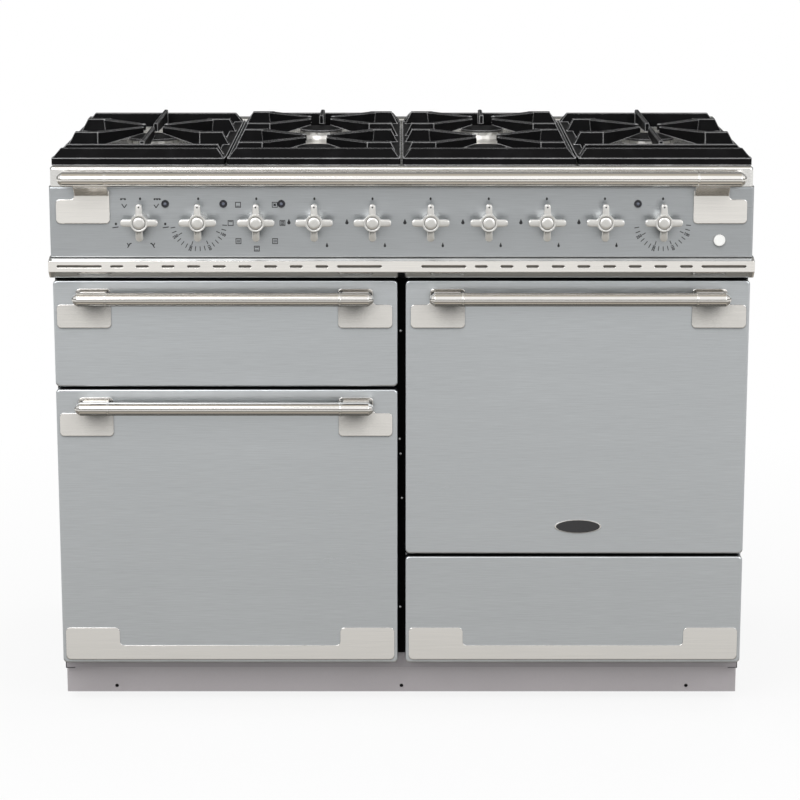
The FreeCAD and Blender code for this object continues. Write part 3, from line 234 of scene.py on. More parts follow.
# What a finish passes into: painted shade where something close above takes the light, and painted
# highlights along edges, on the iron broken up by its wear
PAINTED_SHADE_COLOUR = (0.03, 0.032, 0.03, 1.0)
TRIM_EDGE_HIGHLIGHT = (0.97, 0.97, 0.95, 1.0)
IRON_EDGE_HIGHLIGHT = (0.85, 0.85, 0.86, 1.0)
KNOB_EDGE_HIGHLIGHT = (0.98, 0.98, 0.97, 1.0)
# The painted highlight along the hob's front, the specks in oven enamel, and the near black painted
# as shade between the fronts
HOB_FRONT_HIGHLIGHT = (0.97, 0.965, 0.95, 1.0)
OVEN_SPECKS = (0.16, 0.17, 0.19, 1.0)
GAP_SHADE_BLACK = (0.002, 0.002, 0.002, 1.0)
GAP_SHADE_GREY = (0.005, 0.005, 0.005, 1.0)
# Added to a surface's normal, it turns the test for painted shade upward, towards light from above
LIGHT_FROM = (0.0, 0.0, 1.6)
# How far above a surface something can stand and still cast painted shade on it
STEEL_SHADE_REACH = 24 * MM
TRIM_SHADE_REACH = 60 * MM
KNOB_SHADE_REACH = 6 * MM
# How far the painted highlight along an edge reaches, and how round polishing leaves the edge
TRIM_HIGHLIGHT_WIDTH = 1.0 * MM
KNOB_HIGHLIGHT_WIDTH = 1.0 * MM
IRON_HIGHLIGHT_WIDTH = 2.8 * MM
TRIM_ROUNDING = 1.5 * MM


def brushed_steel(name, colour, contrast, roughness, relief, painted_shade=0.8, front_highlight=None):
    """Steel brushed along X: fine lines, wide soft bands and faint clouds, with painted shade under
    what stands above it. A front highlight is a painted brighter colour in front of a place along
    Y."""
    finish = new_finish(name)
    lines = finish.steep(finish.noise((24.0, 750.0, 750.0), 3.0))
    bands = finish.steep(finish.noise((2.0, 45.0, 45.0)))
    clouds = finish.steep(finish.noise((3.0, 3.0, 4.5)))
    tone = lines * 0.55 + bands * 0.2 + clouds * 0.25
    steel = finish.blend(shade(colour, 1 - contrast), shade(colour, 1 + contrast), tone)
    if front_highlight:
        bright, front = front_highlight
        # Painted highlight: the hob's front band brighter than the rest of the steel
        steel = finish.blend(bright, steel, finish.steep(finish.along(1), front, front + 4 * MM))
    return finish.surface(
        Base_Color=finish.with_painted_shade(steel, STEEL_SHADE_REACH, painted_shade),
        Metallic=1.0,
        Roughness=roughness + (tone - 0.5) * 0.18,
        Normal=finish.bump(lines, relief, 0.1 * MM),
    )


def polished_steel(name, colour, roughness, painted_shade=0.95):
    """Bright trim with faint draw lines and the haze of wiping, painted highlights along its edges
    and painted shade under what stands above it.
    """
    finish = new_finish(name)
    lines = finish.steep(finish.noise((14.0, 900.0, 900.0)), 0.35, 0.65)
    haze = finish.steep(finish.noise(9.0, 3.0), 0.35)
    steel = finish.blend(shade(colour, 0.95), shade(colour, 1.04), lines * 0.6 + haze * 0.4)
    # Painted highlight along the edges
    edge_highlight = finish.blend(steel, TRIM_EDGE_HIGHLIGHT, finish.edges(TRIM_HIGHLIGHT_WIDTH) * 0.6)
    return finish.surface(
        Base_Color=finish.with_painted_shade(edge_highlight, TRIM_SHADE_REACH, painted_shade),
        Metallic=1.0,
        Roughness=roughness + haze * 0.03 + lines * 0.03,
        Normal=finish.softened(TRIM_ROUNDING),
    )


def cast_iron_enamel(name, colour):
    """Cast iron under matt enamel: the grain of sand, pits and worn lighter spots, with painted
    highlights along its edges that the wear and the sand break up.
    """
    finish = new_finish(name)
    sand = finish.noise(420.0, 4.0)
    swell = finish.noise(70.0)
    worn = finish.steep(finish.noise(35.0, 5.0), 0.52, 0.75)
    body = finish.blend(shade(colour, 0.7), shade(colour, 1.8), worn * 0.6 + sand * 0.2)
    # Painted highlight along the edges, broken up by the wear and the sand
    edge_highlight = finish.edges(IRON_HIGHLIGHT_WIDTH) * (0.5 + worn * 0.4 + sand * 0.4)
    return finish.surface(
        Base_Color=finish.blend(body, IRON_EDGE_HIGHLIGHT, edge_highlight),
        Roughness=0.4 + sand * 0.2 + worn * 0.1,
        Specular_IOR_Level=0.07,
        Normal=finish.bump(sand * 0.7 + swell, 0.35, 0.4 * MM),
    )


def gloss_enamel(name, colour, roughness, speck):
    """Vitreous enamel with tiny pale specks and a slow orange-peel swell."""
    finish = new_finish(name)
    specks = finish.cells(260.0)
    dots = finish.steep(1 - specks, 0.86, 0.96)
    peel = finish.noise(160.0)
    return finish.surface(
        Base_Color=finish.blend(colour, speck, dots * 0.6),
        Roughness=roughness + peel * 0.12,
        Coat_Weight=0.5,
        Coat_Roughness=0.12,
        Normal=finish.bump(peel, 0.15, 0.3 * MM),
    )


def satin_paint(name, colour, roughness, grain=300.0):
    """Powder paint: a fine peel, slightly uneven in tone."""
    finish = new_finish(name)
    peel = finish.noise(grain, 3.0)
    clouds = finish.steep(finish.noise(5.0))
    tone = peel * 0.5 + clouds * 0.5
    return finish.surface(
        Base_Color=finish.blend(shade(colour, 0.93), shade(colour, 1.06), tone),
        Roughness=roughness + peel * 0.15,
        Normal=finish.bump(peel, 0.25, 0.2 * MM),
    )


def spangled_zinc(name, colour):
    """Galvanised sheet with its crystal flakes."""
    finish = new_finish(name)
    flake = finish.add("SeparateColor", {}, {"Color": finish.cells(70.0, "Color")})
    dust = finish.noise(300.0)
    return finish.surface(
        Base_Color=finish.blend(shade(colour, 0.55), shade(colour, 1.15), flake * 0.8 + dust * 0.2),
        Metallic=1.0,
        Roughness=0.34 + flake * 0.2,
        Normal=finish.bump(flake, 0.1, 0.1 * MM),
    )


def knob_casting(name, colour, roughness):
    """Pale blasted metal, with painted shade in grooves and under the arms and painted highlights
    along edges.
    """
    finish = new_finish(name)
    tooth = finish.noise(420.0, 3.0)
    body = finish.blend(shade(colour, 0.93), shade(colour, 1.05), tooth)
    # Painted highlight along the edges
    edge_highlit = finish.blend(body, KNOB_EDGE_HIGHLIGHT, finish.edges(KNOB_HIGHLIGHT_WIDTH) * 0.5)
    return finish.surface(
        Base_Color=finish.with_painted_shade(edge_highlit, KNOB_SHADE_REACH, 0.75),
        Metallic=1.0,
        Roughness=roughness + tooth * 0.1,
        Normal=finish.bump(tooth, 0.12, 0.08 * MM),
    )


def satin_metal(name, colour, roughness, grain=500.0):
    """Blasted or tumbled metal with an even fine tooth."""
    finish = new_finish(name)
    tooth = finish.noise(grain, 3.0)
    handled = finish.steep(finish.noise(45.0, 3.0), 0.4)
    tone = tooth * 0.5 + handled * 0.5
    return finish.surface(
        Base_Color=finish.blend(shade(colour, 0.92), shade(colour, 1.04), tone),
        Metallic=1.0,
        Roughness=roughness + tooth * 0.08 + handled * 0.06,
        Normal=finish.bump(tooth, 0.15, 0.08 * MM),
    )


def moulded_plastic(name, colour, roughness, coat=0.0):
    """Moulded plastic with a fine texture."""
    finish = new_finish(name)
    texture = finish.noise(700.0)
    clouds = finish.noise(60.0)
    tone = texture * 0.5 + clouds * 0.5
    return finish.surface(
        Base_Color=finish.blend(shade(colour, 0.92), shade(colour, 1.05), tone),
        Roughness=roughness + texture * 0.1,
        Coat_Weight=coat,
        Normal=finish.bump(texture, 0.1, 0.05 * MM),
    )


def braided_seal(name, colour):
    """The woven sleeve of an oven seal."""
    finish = new_finish(name)
    strands = 520.0
    first, second = (
        finish.add("TexWave", {"bands_direction": "DIAGONAL"},
                   {"Vector": finish.where((strands, strands, lean * strands)), "Scale": 1.0,
                    "Distortion": 0.5})
        for lean in (1, -1))
    weave = first * second
    return finish.surface(
        Base_Color=finish.blend(shade(colour, 0.6), shade(colour, 1.6), weave),
        Roughness=0.75 + weave * 0.15,
        Normal=finish.bump(weave, 0.6, 0.4 * MM),
    )


def frame_shade_and_paint(name, foot, top):
    """Black paint behind the fronts, made near black as painted shade for the gaps; below a height,
    a darker copy of the plinth's paint.
    """
    finish = new_finish(name)
    grain = finish.noise(400.0)
    # Painted shade: near black for the shadow in the gaps between the fronts
    gap_shade = finish.blend(GAP_SHADE_BLACK, GAP_SHADE_GREY, grain)
    return finish.surface(
        Base_Color=finish.blend(foot, gap_shade, finish.steep(finish.along(2), top, top + 0.5 * MM)),
        Roughness=0.7 + grain * 0.2,
        Specular_IOR_Level=0.05,
    )


def panel_ink(name, colour):
    """Printed ink, slightly broken in tone."""
    finish = new_finish(name)
    grain = finish.noise(900.0)
    return finish.surface(
        Base_Color=finish.blend(shade(colour, 0.7), shade(colour, 1.8), grain),
        Roughness=0.5 + grain * 0.15,
    )


# Mesh helpers

# Edges that turn by more than this stay sharp
CREASE = math.radians(40)


def close_piece(name, shape, material, body, soft=False):
    """Turns a bmesh into an object that rides on a body. A soft one is welded, and its gentle
    curves are shaded smooth."""
    if soft:
        bmesh.ops.remove_doubles(shape, verts=shape.verts, dist=WELD)
    bmesh.ops.recalc_face_normals(shape, faces=shape.faces)
    mesh = bpy.data.meshes.new(name)
    shape.to_mesh(mesh)
    shape.free()
    if soft:
        mesh.shade_smooth()
        mesh.set_sharp_from_angle(angle=CREASE)
    mesh.materials.append(material)
    piece = bpy.data.objects.new(name, mesh)
    bpy.context.scene.collection.objects.link(piece)
    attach(piece, body)
    return piece


def round_edges(shape, edges, offset, segments):
    """Bevels edges into a curve."""
    bmesh.ops.bevel(shape, geom=edges, offset=offset, affect="EDGES", segments=segments,
                    profile=0.5, material=-1)


def lathe(shape, profile, centre):
    """Turns a profile of radius and reach, in millimetres, about an axis that runs to the front."""
    verts = [shape.verts.new(centre + Vector((radius * MM, -reach * MM, 0)))
             for radius, reach in profile]
    edges = [shape.edges.new(pair) for pair in zip(verts, verts[1:])]
    bmesh.ops.spin(shape, geom=verts + edges, cent=centre, axis=(0, 1, 0), angle=TURN, steps=48,
                   use_merge=True)


def disc(shape, centre, half_width, half_height, depth, segments=16):
    """A flat round or oval disc that faces the front; its points are returned."""
    place = (Matrix.Translation(centre) @ Matrix.Rotation(TURN / 4, 4, "X")
             @ Matrix.Diagonal((half_width, half_height, depth, 1.0)))
    made = bmesh.ops.create_cone(shape, cap_ends=True, segments=segments, radius1=1.0, radius2=1.0,
                                 depth=1.0, matrix=place)
    return made["verts"]


def bar_mark(shape, centre, width, height, turn=0.0):
    """A flat bar of ink that faces the front."""
    ink = bpy.context.scene.cooker_marks.ink_thickness
    place = (Matrix.Translation(centre) @ Matrix.Rotation(turn, 4, "Y")
             @ Matrix.Diagonal((width, ink, height, 1.0)))
    bmesh.ops.create_cube(shape, size=1.0, matrix=place)


def dot_mark(shape, centre, radius, tall=1.0):
    """A round spot of ink, or an upright oval one."""
    disc(shape, centre, radius, radius * tall, bpy.context.scene.cooker_marks.ink_thickness)


def off_mark(shape, middle):
    """The upright oval over a knob that says off."""
    marks = bpy.context.scene.cooker_marks
    dot_mark(shape, around(middle, marks.above, 0.0), marks.off, 1.4)


def flame_mark(shape, centre, width, height):
    """A drop with its point up, as on gas controls: a disc whose upper half is drawn out."""
    belly = height * 0.32
    point = height * 0.36
    narrowing = 0.55
    for vert in disc(shape, centre, width / 2, belly, bpy.context.scene.cooker_marks.ink_thickness):
        rise = (vert.co.z - centre.z) / belly
        if rise > 0:
            vert.co.x = centre.x + (vert.co.x - centre.x) * (1 - narrowing * rise)
            vert.co.z += rise * rise * point


def frame_mark(shape, centre, size, line):
    """The outline of a square."""
    reach = (size - line) / 2
    for side in (-1, 1):
        bar_mark(shape, centre + Vector((side * reach, 0, 0)), line, size)
        bar_mark(shape, centre + Vector((0, 0, side * reach)), size, line)


def around(centre, radius, turn):
    """A point on a circle that faces the front; the turn runs clockwise from the top."""
    return centre + Vector((math.sin(turn) * radius, 0, math.cos(turn) * radius))


def panel_point(node):
    """The middle of the marks printed on the control panel round a knob."""
    middle = box_middle(node)
    ink = bpy.context.scene.cooker_marks.ink_thickness
    drop = bpy.context.scene.cooker_marks.drop
    return Vector((middle.x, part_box("control_panel")[0].y - ink / 2, middle.z - drop))


# Settings


def length(name, note, default):
    """A length in metres that a user can change."""
    return bpy.props.FloatProperty(name=name, description=note, default=default, unit="LENGTH",
                                   precision=5)


def angle(name, note, default):
    """An angle that a user can change."""
    return bpy.props.FloatProperty(name=name, description=note, default=default, subtype="ANGLE")


def tint(name, note, default):
    """A colour that a user can change."""
    return bpy.props.FloatVectorProperty(name=name, description=note, default=default,
                                         subtype="COLOR", size=3, min=0.0, max=1.0)


class CookerFinishes(bpy.types.PropertyGroup):
    """Colours of the metals, paints and enamels."""

    doors: tint("Doors", "Brushed steel of the doors, and darker of the control panel",
                (0.672, 0.703, 0.73))
    trim: tint("Trim", "Polished steel of handles, rail, vent strip and kick trims",
               (0.84, 0.82, 0.79))
    hob: tint("Hob", "Satin steel of the hob", (0.66, 0.655, 0.63))
    iron: tint("Cast iron", "Enamel on the pan supports", (0.0055, 0.0055, 0.006))
    enamel: tint("Enamel", "Enamel of the ovens", (0.02, 0.021, 0.024))
    knobs: tint("Knobs", "Pale satin metal of the knobs", (0.88, 0.87, 0.845))
    alloy: tint("Burners", "Aluminium of the burner heads", (0.9, 0.89, 0.87))
    sides: tint("Sides", "Paint of the side panels", (0.03, 0.031, 0.034))
    plinth: tint("Plinth", "Paint of the plinth", (0.41, 0.385, 0.395))
    zinc: tint("Zinc", "Galvanised sheet inside and behind", (0.56, 0.57, 0.58))
    brass: tint("Brass", "Gas taps and feed pipe", (0.6, 0.45, 0.18))
    ink: tint("Ink", "Printed marks", (0.014, 0.014, 0.016))
    plate: tint("Plate", "Bare plate on the right oven door", (0.008, 0.008, 0.01))


class CookerMarks(bpy.types.PropertyGroup):
    """Sizes of the marks printed round the knobs."""

    ink_thickness: length("Ink", "Thickness of the print", 0.12 * MM)
    drop: length("Drop", "How far below the knob's axis the marks are centred", 3.5 * MM)
    dial_inner: length("Dial inside", "Inner radius of the temperature ticks", 36.6 * MM)
    dial_outer: length("Dial outside", "Outer radius of the temperature ticks", 43.9 * MM)
    tick: length("Tick", "Width of a temperature tick", 1.15 * MM)
    number: length("Number", "Height of the dial numbers", 6.0 * MM)
    stroke: length("Stroke", "How much the dial numbers are thickened", 0.22 * MM)
    icon: length("Icon", "Side of the square oven icons", 8.8 * MM)
    icon_line: length("Icon line", "Width of the icon lines", 1.05 * MM)
    icon_radius: length("Icon radius", "Distance of the icons from the knob's middle", 40.0 * MM)
    above: length("Above", "Height of the off mark over the knob's middle", 37.6 * MM)
    off: length("Off mark", "Half the width of the off mark", 1.6 * MM)


class CookerStudio(bpy.types.PropertyGroup):
    """Camera, lamps, room and floor."""

    distance: length("Distance", "Camera to the door faces", 4.1)
    height: length("Height", "Camera above the floor", 1.4148)
    aside: length("Aside", "Camera left of the object's middle", 2.4 * MM)
    tilt: angle("Tilt", "Camera below level", 0.2175)
    lens: bpy.props.FloatProperty(name="Lens", description="Focal length", default=120.69,
                                  unit="CAMERA")
    key: bpy.props.FloatProperty(name="Key", description="Power of the key lamp", default=60.0,
                                 unit="POWER")
    fill: bpy.props.FloatProperty(name="Fill", description="Power of the fill lamp", default=26.0,
                                  unit="POWER")
    room: bpy.props.FloatProperty(name="Room", description="Strength of the room's light",
                                  default=0.62)
    floor: length("Floor", "Radius of the floor", 9.0)
    floor_lift: bpy.props.FloatProperty(
        name="Floor lift", description="Share of white in what the camera sees of the near floor",
        default=0.88, subtype="FACTOR", min=0.0, max=1.0)


# Operators


class COOKER_OT_finishes(bpy.types.Operator):
    """Give every CAD piece the finish of its material slot"""

    bl_idname = "cooker.finishes"
    bl_label = "Finishes"

    def execute(self, context):
        tints = context.scene.cooker_finishes
        front_highlight = (HOB_FRONT_HIGHLIGHT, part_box("hob_tray")[0].y + 5 * MM)
        made = {
            "brushed_doors": brushed_steel("Brushed door steel", tints.doors, 0.1, 0.34, 0.22),
            "polished_trim": polished_steel("Polished trim", tints.trim, 0.1),
            "hob_steel": brushed_steel("Satin hob steel", tints.hob, 0.03, 0.26, 0.01, 0.3, front_highlight),
            "cast_iron": cast_iron_enamel("Cast iron", tints.iron),
            "burner_alloy": satin_metal("Burner alloy", tints.alloy, 0.3),
            "burner_enamel": cast_iron_enamel("Cap enamel", shade(tints.iron, 1.3)),
            "knob_metal": satin_metal("Knob metal", tints.knobs, 0.22),
            "spindle_steel": satin_metal("Spindle steel", shade(tints.zinc, 0.8), 0.28),
            "black_enamel": gloss_enamel("Oven enamel", shade(tints.enamel, 1.0), 0.18,
                                         OVEN_SPECKS),
            "side_paint": satin_paint("Side paint", tints.sides, 0.38),
            "galvanised": spangled_zinc("Galvanised sheet", tints.zinc),
            "plinth_paint": satin_paint("Plinth paint", tints.plinth, 0.42),
            "chrome_wire": satin_metal("Chrome wire", (0.82, 0.82, 0.83), 0.08, 200.0),
            "tap_brass": satin_metal("Brass", tints.brass, 0.25),
            "switch_plastic": moulded_plastic("Switch plastic", (0.05, 0.05, 0.05), 0.5),
            "lamp_lens": moulded_plastic("Lamp lens", (0.004, 0.005, 0.012), 0.1, 0.3),
            "button_plastic": moulded_plastic("Button plastic", (0.86, 0.86, 0.84), 0.2, 0.5),
            "seal_rubber": braided_seal("Seal", (0.04, 0.04, 0.042)),
            "foot_plastic": moulded_plastic("Foot plastic", (0.03, 0.03, 0.03), 0.5),
        }
        foot_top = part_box("left_oven_door")[0].z + 8 * MM
        own = {
            "front_frame": frame_shade_and_paint("Frame shade and paint", shade(tints.plinth, 0.8), foot_top),
            "control_panel": brushed_steel("Panel steel", shade(tints.doors, 0.8), 0.1, 0.34, 0.22),
            # The rail and the vent strip take lighter copies of the trim's colour, a painted
            # highlight
            "front_rail": polished_steel("Rail steel", shade(tints.trim, 1.14), 0.1, 0.25),
            "vent_strip": polished_steel("Strip steel", shade(tints.trim, 1.16), 0.1, 0.6),
        }
        for part in frame["record"]["subparts"]:
            node = frame["nodes"][part["node"]]
            node.data.materials.clear()
            node.data.materials.append(own.get(part["node"], made[part["material_slot"]]))
        return {"FINISHED"}


class COOKER_OT_knobs(bpy.types.Operator):
    """Cast the ten cross-shaped knobs, with filleted webs and a grooved cap"""

    bl_idname = "cooker.knobs"
    bl_label = "Knobs"

    web: length("Web", "Middle of a knob to the flat between two arms", 12.9 * MM)
    pointer: length("Pointer", "Width of the upper arm at its end", 9.4 * MM)
    foot: length("Foot", "Width of the lower arm at its end", 12.4 * MM)
    side: length("Side", "Width of a side arm at its end", 10.4 * MM)
    arm: length("Arm", "Thickness of the arms", 8.0 * MM)
    cap: length("Cap", "How far the cap stands out of the arms", 2.8 * MM)
    fillet: length("Fillet", "Rounding where an arm leaves the hub", 1.7 * MM)
    rounding: length("Rounding", "Rounding of the front edges", 1.5 * MM)
    lean: angle("Lean", "How much the lower arm leans back", math.radians(10))
    dot: length("Dot", "Radius of the spot on the upper arm", 1.25 * MM)
    dot_height: length("Dot height", "Middle of the knob to the spot", 24.6 * MM)

    def execute(self, context):
        tints = context.scene.cooker_finishes
        metal = knob_casting("Knob casting", tints.knobs, 0.36)
        ink = panel_ink("Knob dot ink", tints.ink)
        for node in knob_nodes():
            low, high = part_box(node)
            front = Vector(((low.x + high.x) / 2, low.y + self.cap, (low.z + high.z) / 2))
            shape = bmesh.new()
            self.cross(shape, front, (high.x - low.x) / 2)
            back = (high.y - front.y) / MM
            rise = self.cap / MM
            skirt = ((0, 2 - back), (9.7, 2 - back), (10.5, 0.6 - back), (13, 5 - back), (13.4, -1))
            rim = ((13.4, 0.5), (12.9, 1.1), (10.8, 1.2), (10.4, 1.0))
            groove = ((10.1, -0.5), (9.0, -0.5))
            cap = ((8.8, rise - 0.9), (7.9, rise - 0.35), (5.0, rise - 0.1), (0, rise))
            lathe(shape, skirt + rim + groove + cap, front)
            body = frame["nodes"][node]["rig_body"]
            piece = close_piece(node + "_casting", shape, metal, body, soft=True)
            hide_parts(node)
            spot = bmesh.new()
            dot_mark(spot, front + Vector((0, -0.05 * MM, self.dot_height)), self.dot)
            close_piece(node + "_dot", spot, ink, body)
        return {"FINISHED"}

    def cross(self, shape, front, reach):
        """Four tapering arms with round ends on an eight-sided hub, softened along every edge."""
        ring = self.web / math.cos(TURN / 16)
        place = (Matrix.Translation(front) @ Matrix.Rotation(TURN / 4, 4, "X")
                 @ Matrix.Rotation(TURN / 16, 4, "Z"))
        bmesh.ops.create_circle(shape, cap_ends=True, segments=8, radius=ring, matrix=place)
        ends = {}
        for way, width in (((0, 1), self.pointer), ((0, -1), self.foot), ((1, 0), self.side),
                           ((-1, 0), self.side)):
            out = Vector((way[0], 0, way[1]))
            across = Vector((way[1], 0, way[0]))
            edge = max(shape.edges, key=lambda item: (item.verts[0].co + item.verts[1].co).dot(out)
                       - abs((item.verts[0].co - item.verts[1].co).dot(out)))
            arm = bmesh.ops.extrude_edge_only(shape, edges=[edge])["geom"]
            for vert in (item for item in arm if isinstance(item, bmesh.types.BMVert)):
                side = math.copysign(1, (vert.co - front).dot(across))
                vert.co = front + out * reach + across * side * width / 2
                ends[vert] = width
        flat = bmesh.ops.dissolve_faces(shape, faces=shape.faces[:])["region"]
        tips = [(vert.co.copy(), width) for vert, width in ends.items()]
        grown = bmesh.ops.extrude_face_region(shape, geom=flat)["geom"]
        back = [item for item in grown if isinstance(item, bmesh.types.BMVert)]
        bmesh.ops.translate(shape, verts=back, vec=(0, self.arm, 0))
        upright = [edge for edge in shape.edges
                   if abs(edge.verts[0].co.y - edge.verts[1].co.y) > self.arm / 2]
        # Just under half, so that the two roundings of an arm's end don't meet
        round_end = 0.47
        for width in sorted({width for place, width in tips}):
            corners = [edge for edge in upright if edge.is_valid and any(
                math.hypot(edge.verts[0].co.x - place.x, edge.verts[0].co.z - place.z) < NEAR
                for place, size in tips if size == width)]
            round_edges(shape, corners, width * round_end, 7)
        inner = [edge for edge in shape.edges
                 if abs(edge.verts[0].co.y - edge.verts[1].co.y) > self.arm / 2
                 and (edge.verts[0].co - front).xz.length < ring + NEAR]
        round_edges(shape, inner, self.fillet, 5)
        rim = [edge for edge in shape.edges
               if all(abs(vert.co.y - front.y) < NEAR for vert in edge.verts)]
        round_edges(shape, rim, self.rounding, 3)
        slope = math.tan(self.lean)
        for vert in shape.verts:
            below = front.z - vert.co.z - self.web
            if below > 0:
                vert.co.y += below * slope


class COOKER_OT_temperature_dials(bpy.types.Operator):
    """Print the ticks and numbers round the two temperature knobs"""

    bl_idname = "cooker.temperature_dials"
    bl_label = "Temperature dials"

    start: angle("Start", "First tick, clockwise from the top", math.radians(95))
    step: angle("Step", "One tick to the next", math.radians(10.3))
    inset: length("Inset", "How far a numbered tick starts inside the ring of ticks", 6.5 * MM)
    gap: length("Gap", "Numbered tick to its number", 0.4 * MM)
    lift: length("Lift", "Inner radius to the middle of a number", 5 * MM)

    def execute(self, context):
        marks = context.scene.cooker_marks
        ink = panel_ink("Dial ink", context.scene.cooker_finishes.ink)
        ticks = 17
        numbered = {2: "100", 6: "150", 10: "200", 14: "250"}
        for side in ("left", "right"):
            middle = panel_point(side + "_oven_temperature_knob")
            shape = bmesh.new()
            for i in range(ticks):
                turn = self.start + i * self.step
                inner, outer = marks.dial_inner, marks.dial_outer
                if i in numbered:
                    inner, outer = marks.dial_inner - self.inset, marks.dial_inner - self.gap
                    place = around(middle, marks.dial_inner + self.lift, turn)
                    self.number(shape, marks, numbered[i], place, turn)
                bar_mark(shape, around(middle, (inner + outer) / 2, turn), marks.tick,
                         outer - inner, turn)
            off_mark(shape, middle)
            close_piece(side + "_temperature_dial", shape, ink, "carcass")
        return {"FINISHED"}

    def number(self, shape, marks, digits, place, turn):
        """Digits that stand along the radius, turned so that none is upside down."""
        curve = bpy.data.curves.new("number", "FONT")
        curve.body = digits
        curve.size = marks.number
        curve.align_x, curve.align_y = "CENTER", "CENTER"
        curve.extrude = marks.ink_thickness / 2
        curve.offset = marks.stroke
        curve.resolution_u = 2
        text = bpy.data.objects.new("number", curve)
        flat = bpy.data.meshes.new_from_object(text)
        stand = (Matrix.Translation(place) @ Matrix.Rotation(turn - TURN / 4, 4, "Y")
                 @ Matrix.Rotation(TURN / 4, 4, "X"))
        if turn > TURN / 2:
            stand = stand @ Matrix.Rotation(TURN / 2, 4, "Z")
        flat.transform(stand)
        shape.from_mesh(flat)
        bpy.data.objects.remove(text)
        bpy.data.meshes.remove(flat)


# The large and the small flame round a gas knob: place right of and above the knob's middle, then
# width and height, in millimetres
FLAMES = ((-39.6, 0.5, 5.4, 8.4), (19.0, -35.5, 4.0, 7.2))


class COOKER_OT_gas_marks(bpy.types.Operator):
    """Print the off, high and low marks round the gas knobs"""

    bl_idname = "cooker.gas_marks"
    bl_label = "Gas marks"

    def execute(self, context):
        ink = panel_ink("Gas mark ink", context.scene.cooker_finishes.ink)
        shape = bmesh.new()
        for i in range(1, 7):
            middle = panel_point("gas_knob_%d" % i)
            off_mark(shape, middle)
            for x, z, width, height in FLAMES:
                flame_mark(shape, middle + Vector((x, 0, z)) * MM, width * MM, height * MM)
        close_piece("gas_marks", shape, ink, "carcass")
        return {"FINISHED"}


class COOKER_OT_oven_icons(bpy.types.Operator):
    """Print the square icons round the oven function knob"""

    bl_idname = "cooker.oven_icons"
    bl_label = "Oven icons"

    def execute(self, context):
        marks = context.scene.cooker_marks
        ink = panel_ink("Icon ink", context.scene.cooker_finishes.ink)
        middle = panel_point("left_oven_function_knob")
        shape = bmesh.new()
        off_mark(shape, middle)
        size, line = marks.icon, marks.icon_line
        element = Vector((0, 0, size * 0.24))
        # Clockwise, an eighth of a turn apart, with none at the top
        motifs = ("fan", "grid", "lines", "both", "lines", "top", "bottom")
        for i, motif in enumerate(motifs):
            centre = around(middle, marks.icon_radius, TURN / 8 * (i + 1))
            frame_mark(shape, centre, size, line)
            if motif == "fan":
                dot_mark(shape, centre, size * 0.2)
                for turn in (TURN / 8, -TURN / 8):
                    bar_mark(shape, centre, line, size * 0.62, turn)
            if motif in ("top", "both", "grid"):
                bar_mark(shape, centre + element, size * 0.6, line)
            if motif in ("bottom", "both", "grid"):
                bar_mark(shape, centre - element, size * 0.6, line)
            if motif in ("lines", "grid"):
                for share in (-0.2, 0.0, 0.2):
                    bar_mark(shape, centre + Vector((size * share, 0, 0)), line * 0.8, size * 0.5)
        close_piece("oven_icons", shape, ink, "carcass")
        return {"FINISHED"}


class COOKER_OT_grill_icons(bpy.types.Operator):
    """Print the grill marks round the grill knob"""

    bl_idname = "cooker.grill_icons"
    bl_label = "Grill icons"

    def execute(self, context):
        ink = panel_ink("Grill mark ink", context.scene.cooker_finishes.ink)
        middle = panel_point("grill_knob")
        shape = bmesh.new()
        off_mark(shape, middle)
        for side in (-1, 1):
            # The grill's element, short on the left and long on the right
            width = (8.4 + side * 1.2) * MM
            above = middle + Vector((side * 26.3, 0, 37.5)) * MM
            bar_mark(shape, above, width, 1.3 * MM)
            for share in (-0.42, 0.42) if side < 0 else (-0.42, 0.0, 0.42):
                dot_mark(shape, above + Vector((width * share, 0, -0.5 * MM)), 1.5 * MM)
            # Its heat, an open arrow that points down
            foot = middle + Vector((side * 24.4, 0, 23.6)) * MM
            for lean, reach in ((-1, 5.6), (1, 7.4)) if side > 0 else ((-1, 7.4), (1, 6.4)):
                tilt = lean * math.radians(34)
                bar_mark(shape, around(foot, reach / 2 * MM, tilt), 1.3 * MM, reach * MM, tilt)
            # A spot over a bar, beside the knob
            beside = middle + Vector((side * 38, 0, -1.5)) * MM
            dot_mark(shape, beside, 1.8 * MM, 1.15)
            bar_mark(shape, beside + Vector((side * 0.8, 0, -5.3)) * MM, 9.4 * MM, 1.4 * MM,
                     -math.radians(8))
            # A branched stroke below it
            below = middle + Vector((side * 18.6, 0, -35)) * MM
            bar_mark(shape, below, 1.5 * MM, 8.6 * MM, -side * math.radians(32))
            bar_mark(shape, below + Vector((side * 1.6, 0, 1.6)) * MM, 1.4 * MM, 4.6 * MM,
                     side * math.radians(30))
            bar_mark(shape, below + Vector((-side * 2.2, 0, 2.6)) * MM, 1.3 * MM, 4.2 * MM,
                     -side * math.radians(66))
        close_piece("grill_icons", shape, ink, "carcass")
        return {"FINISHED"}


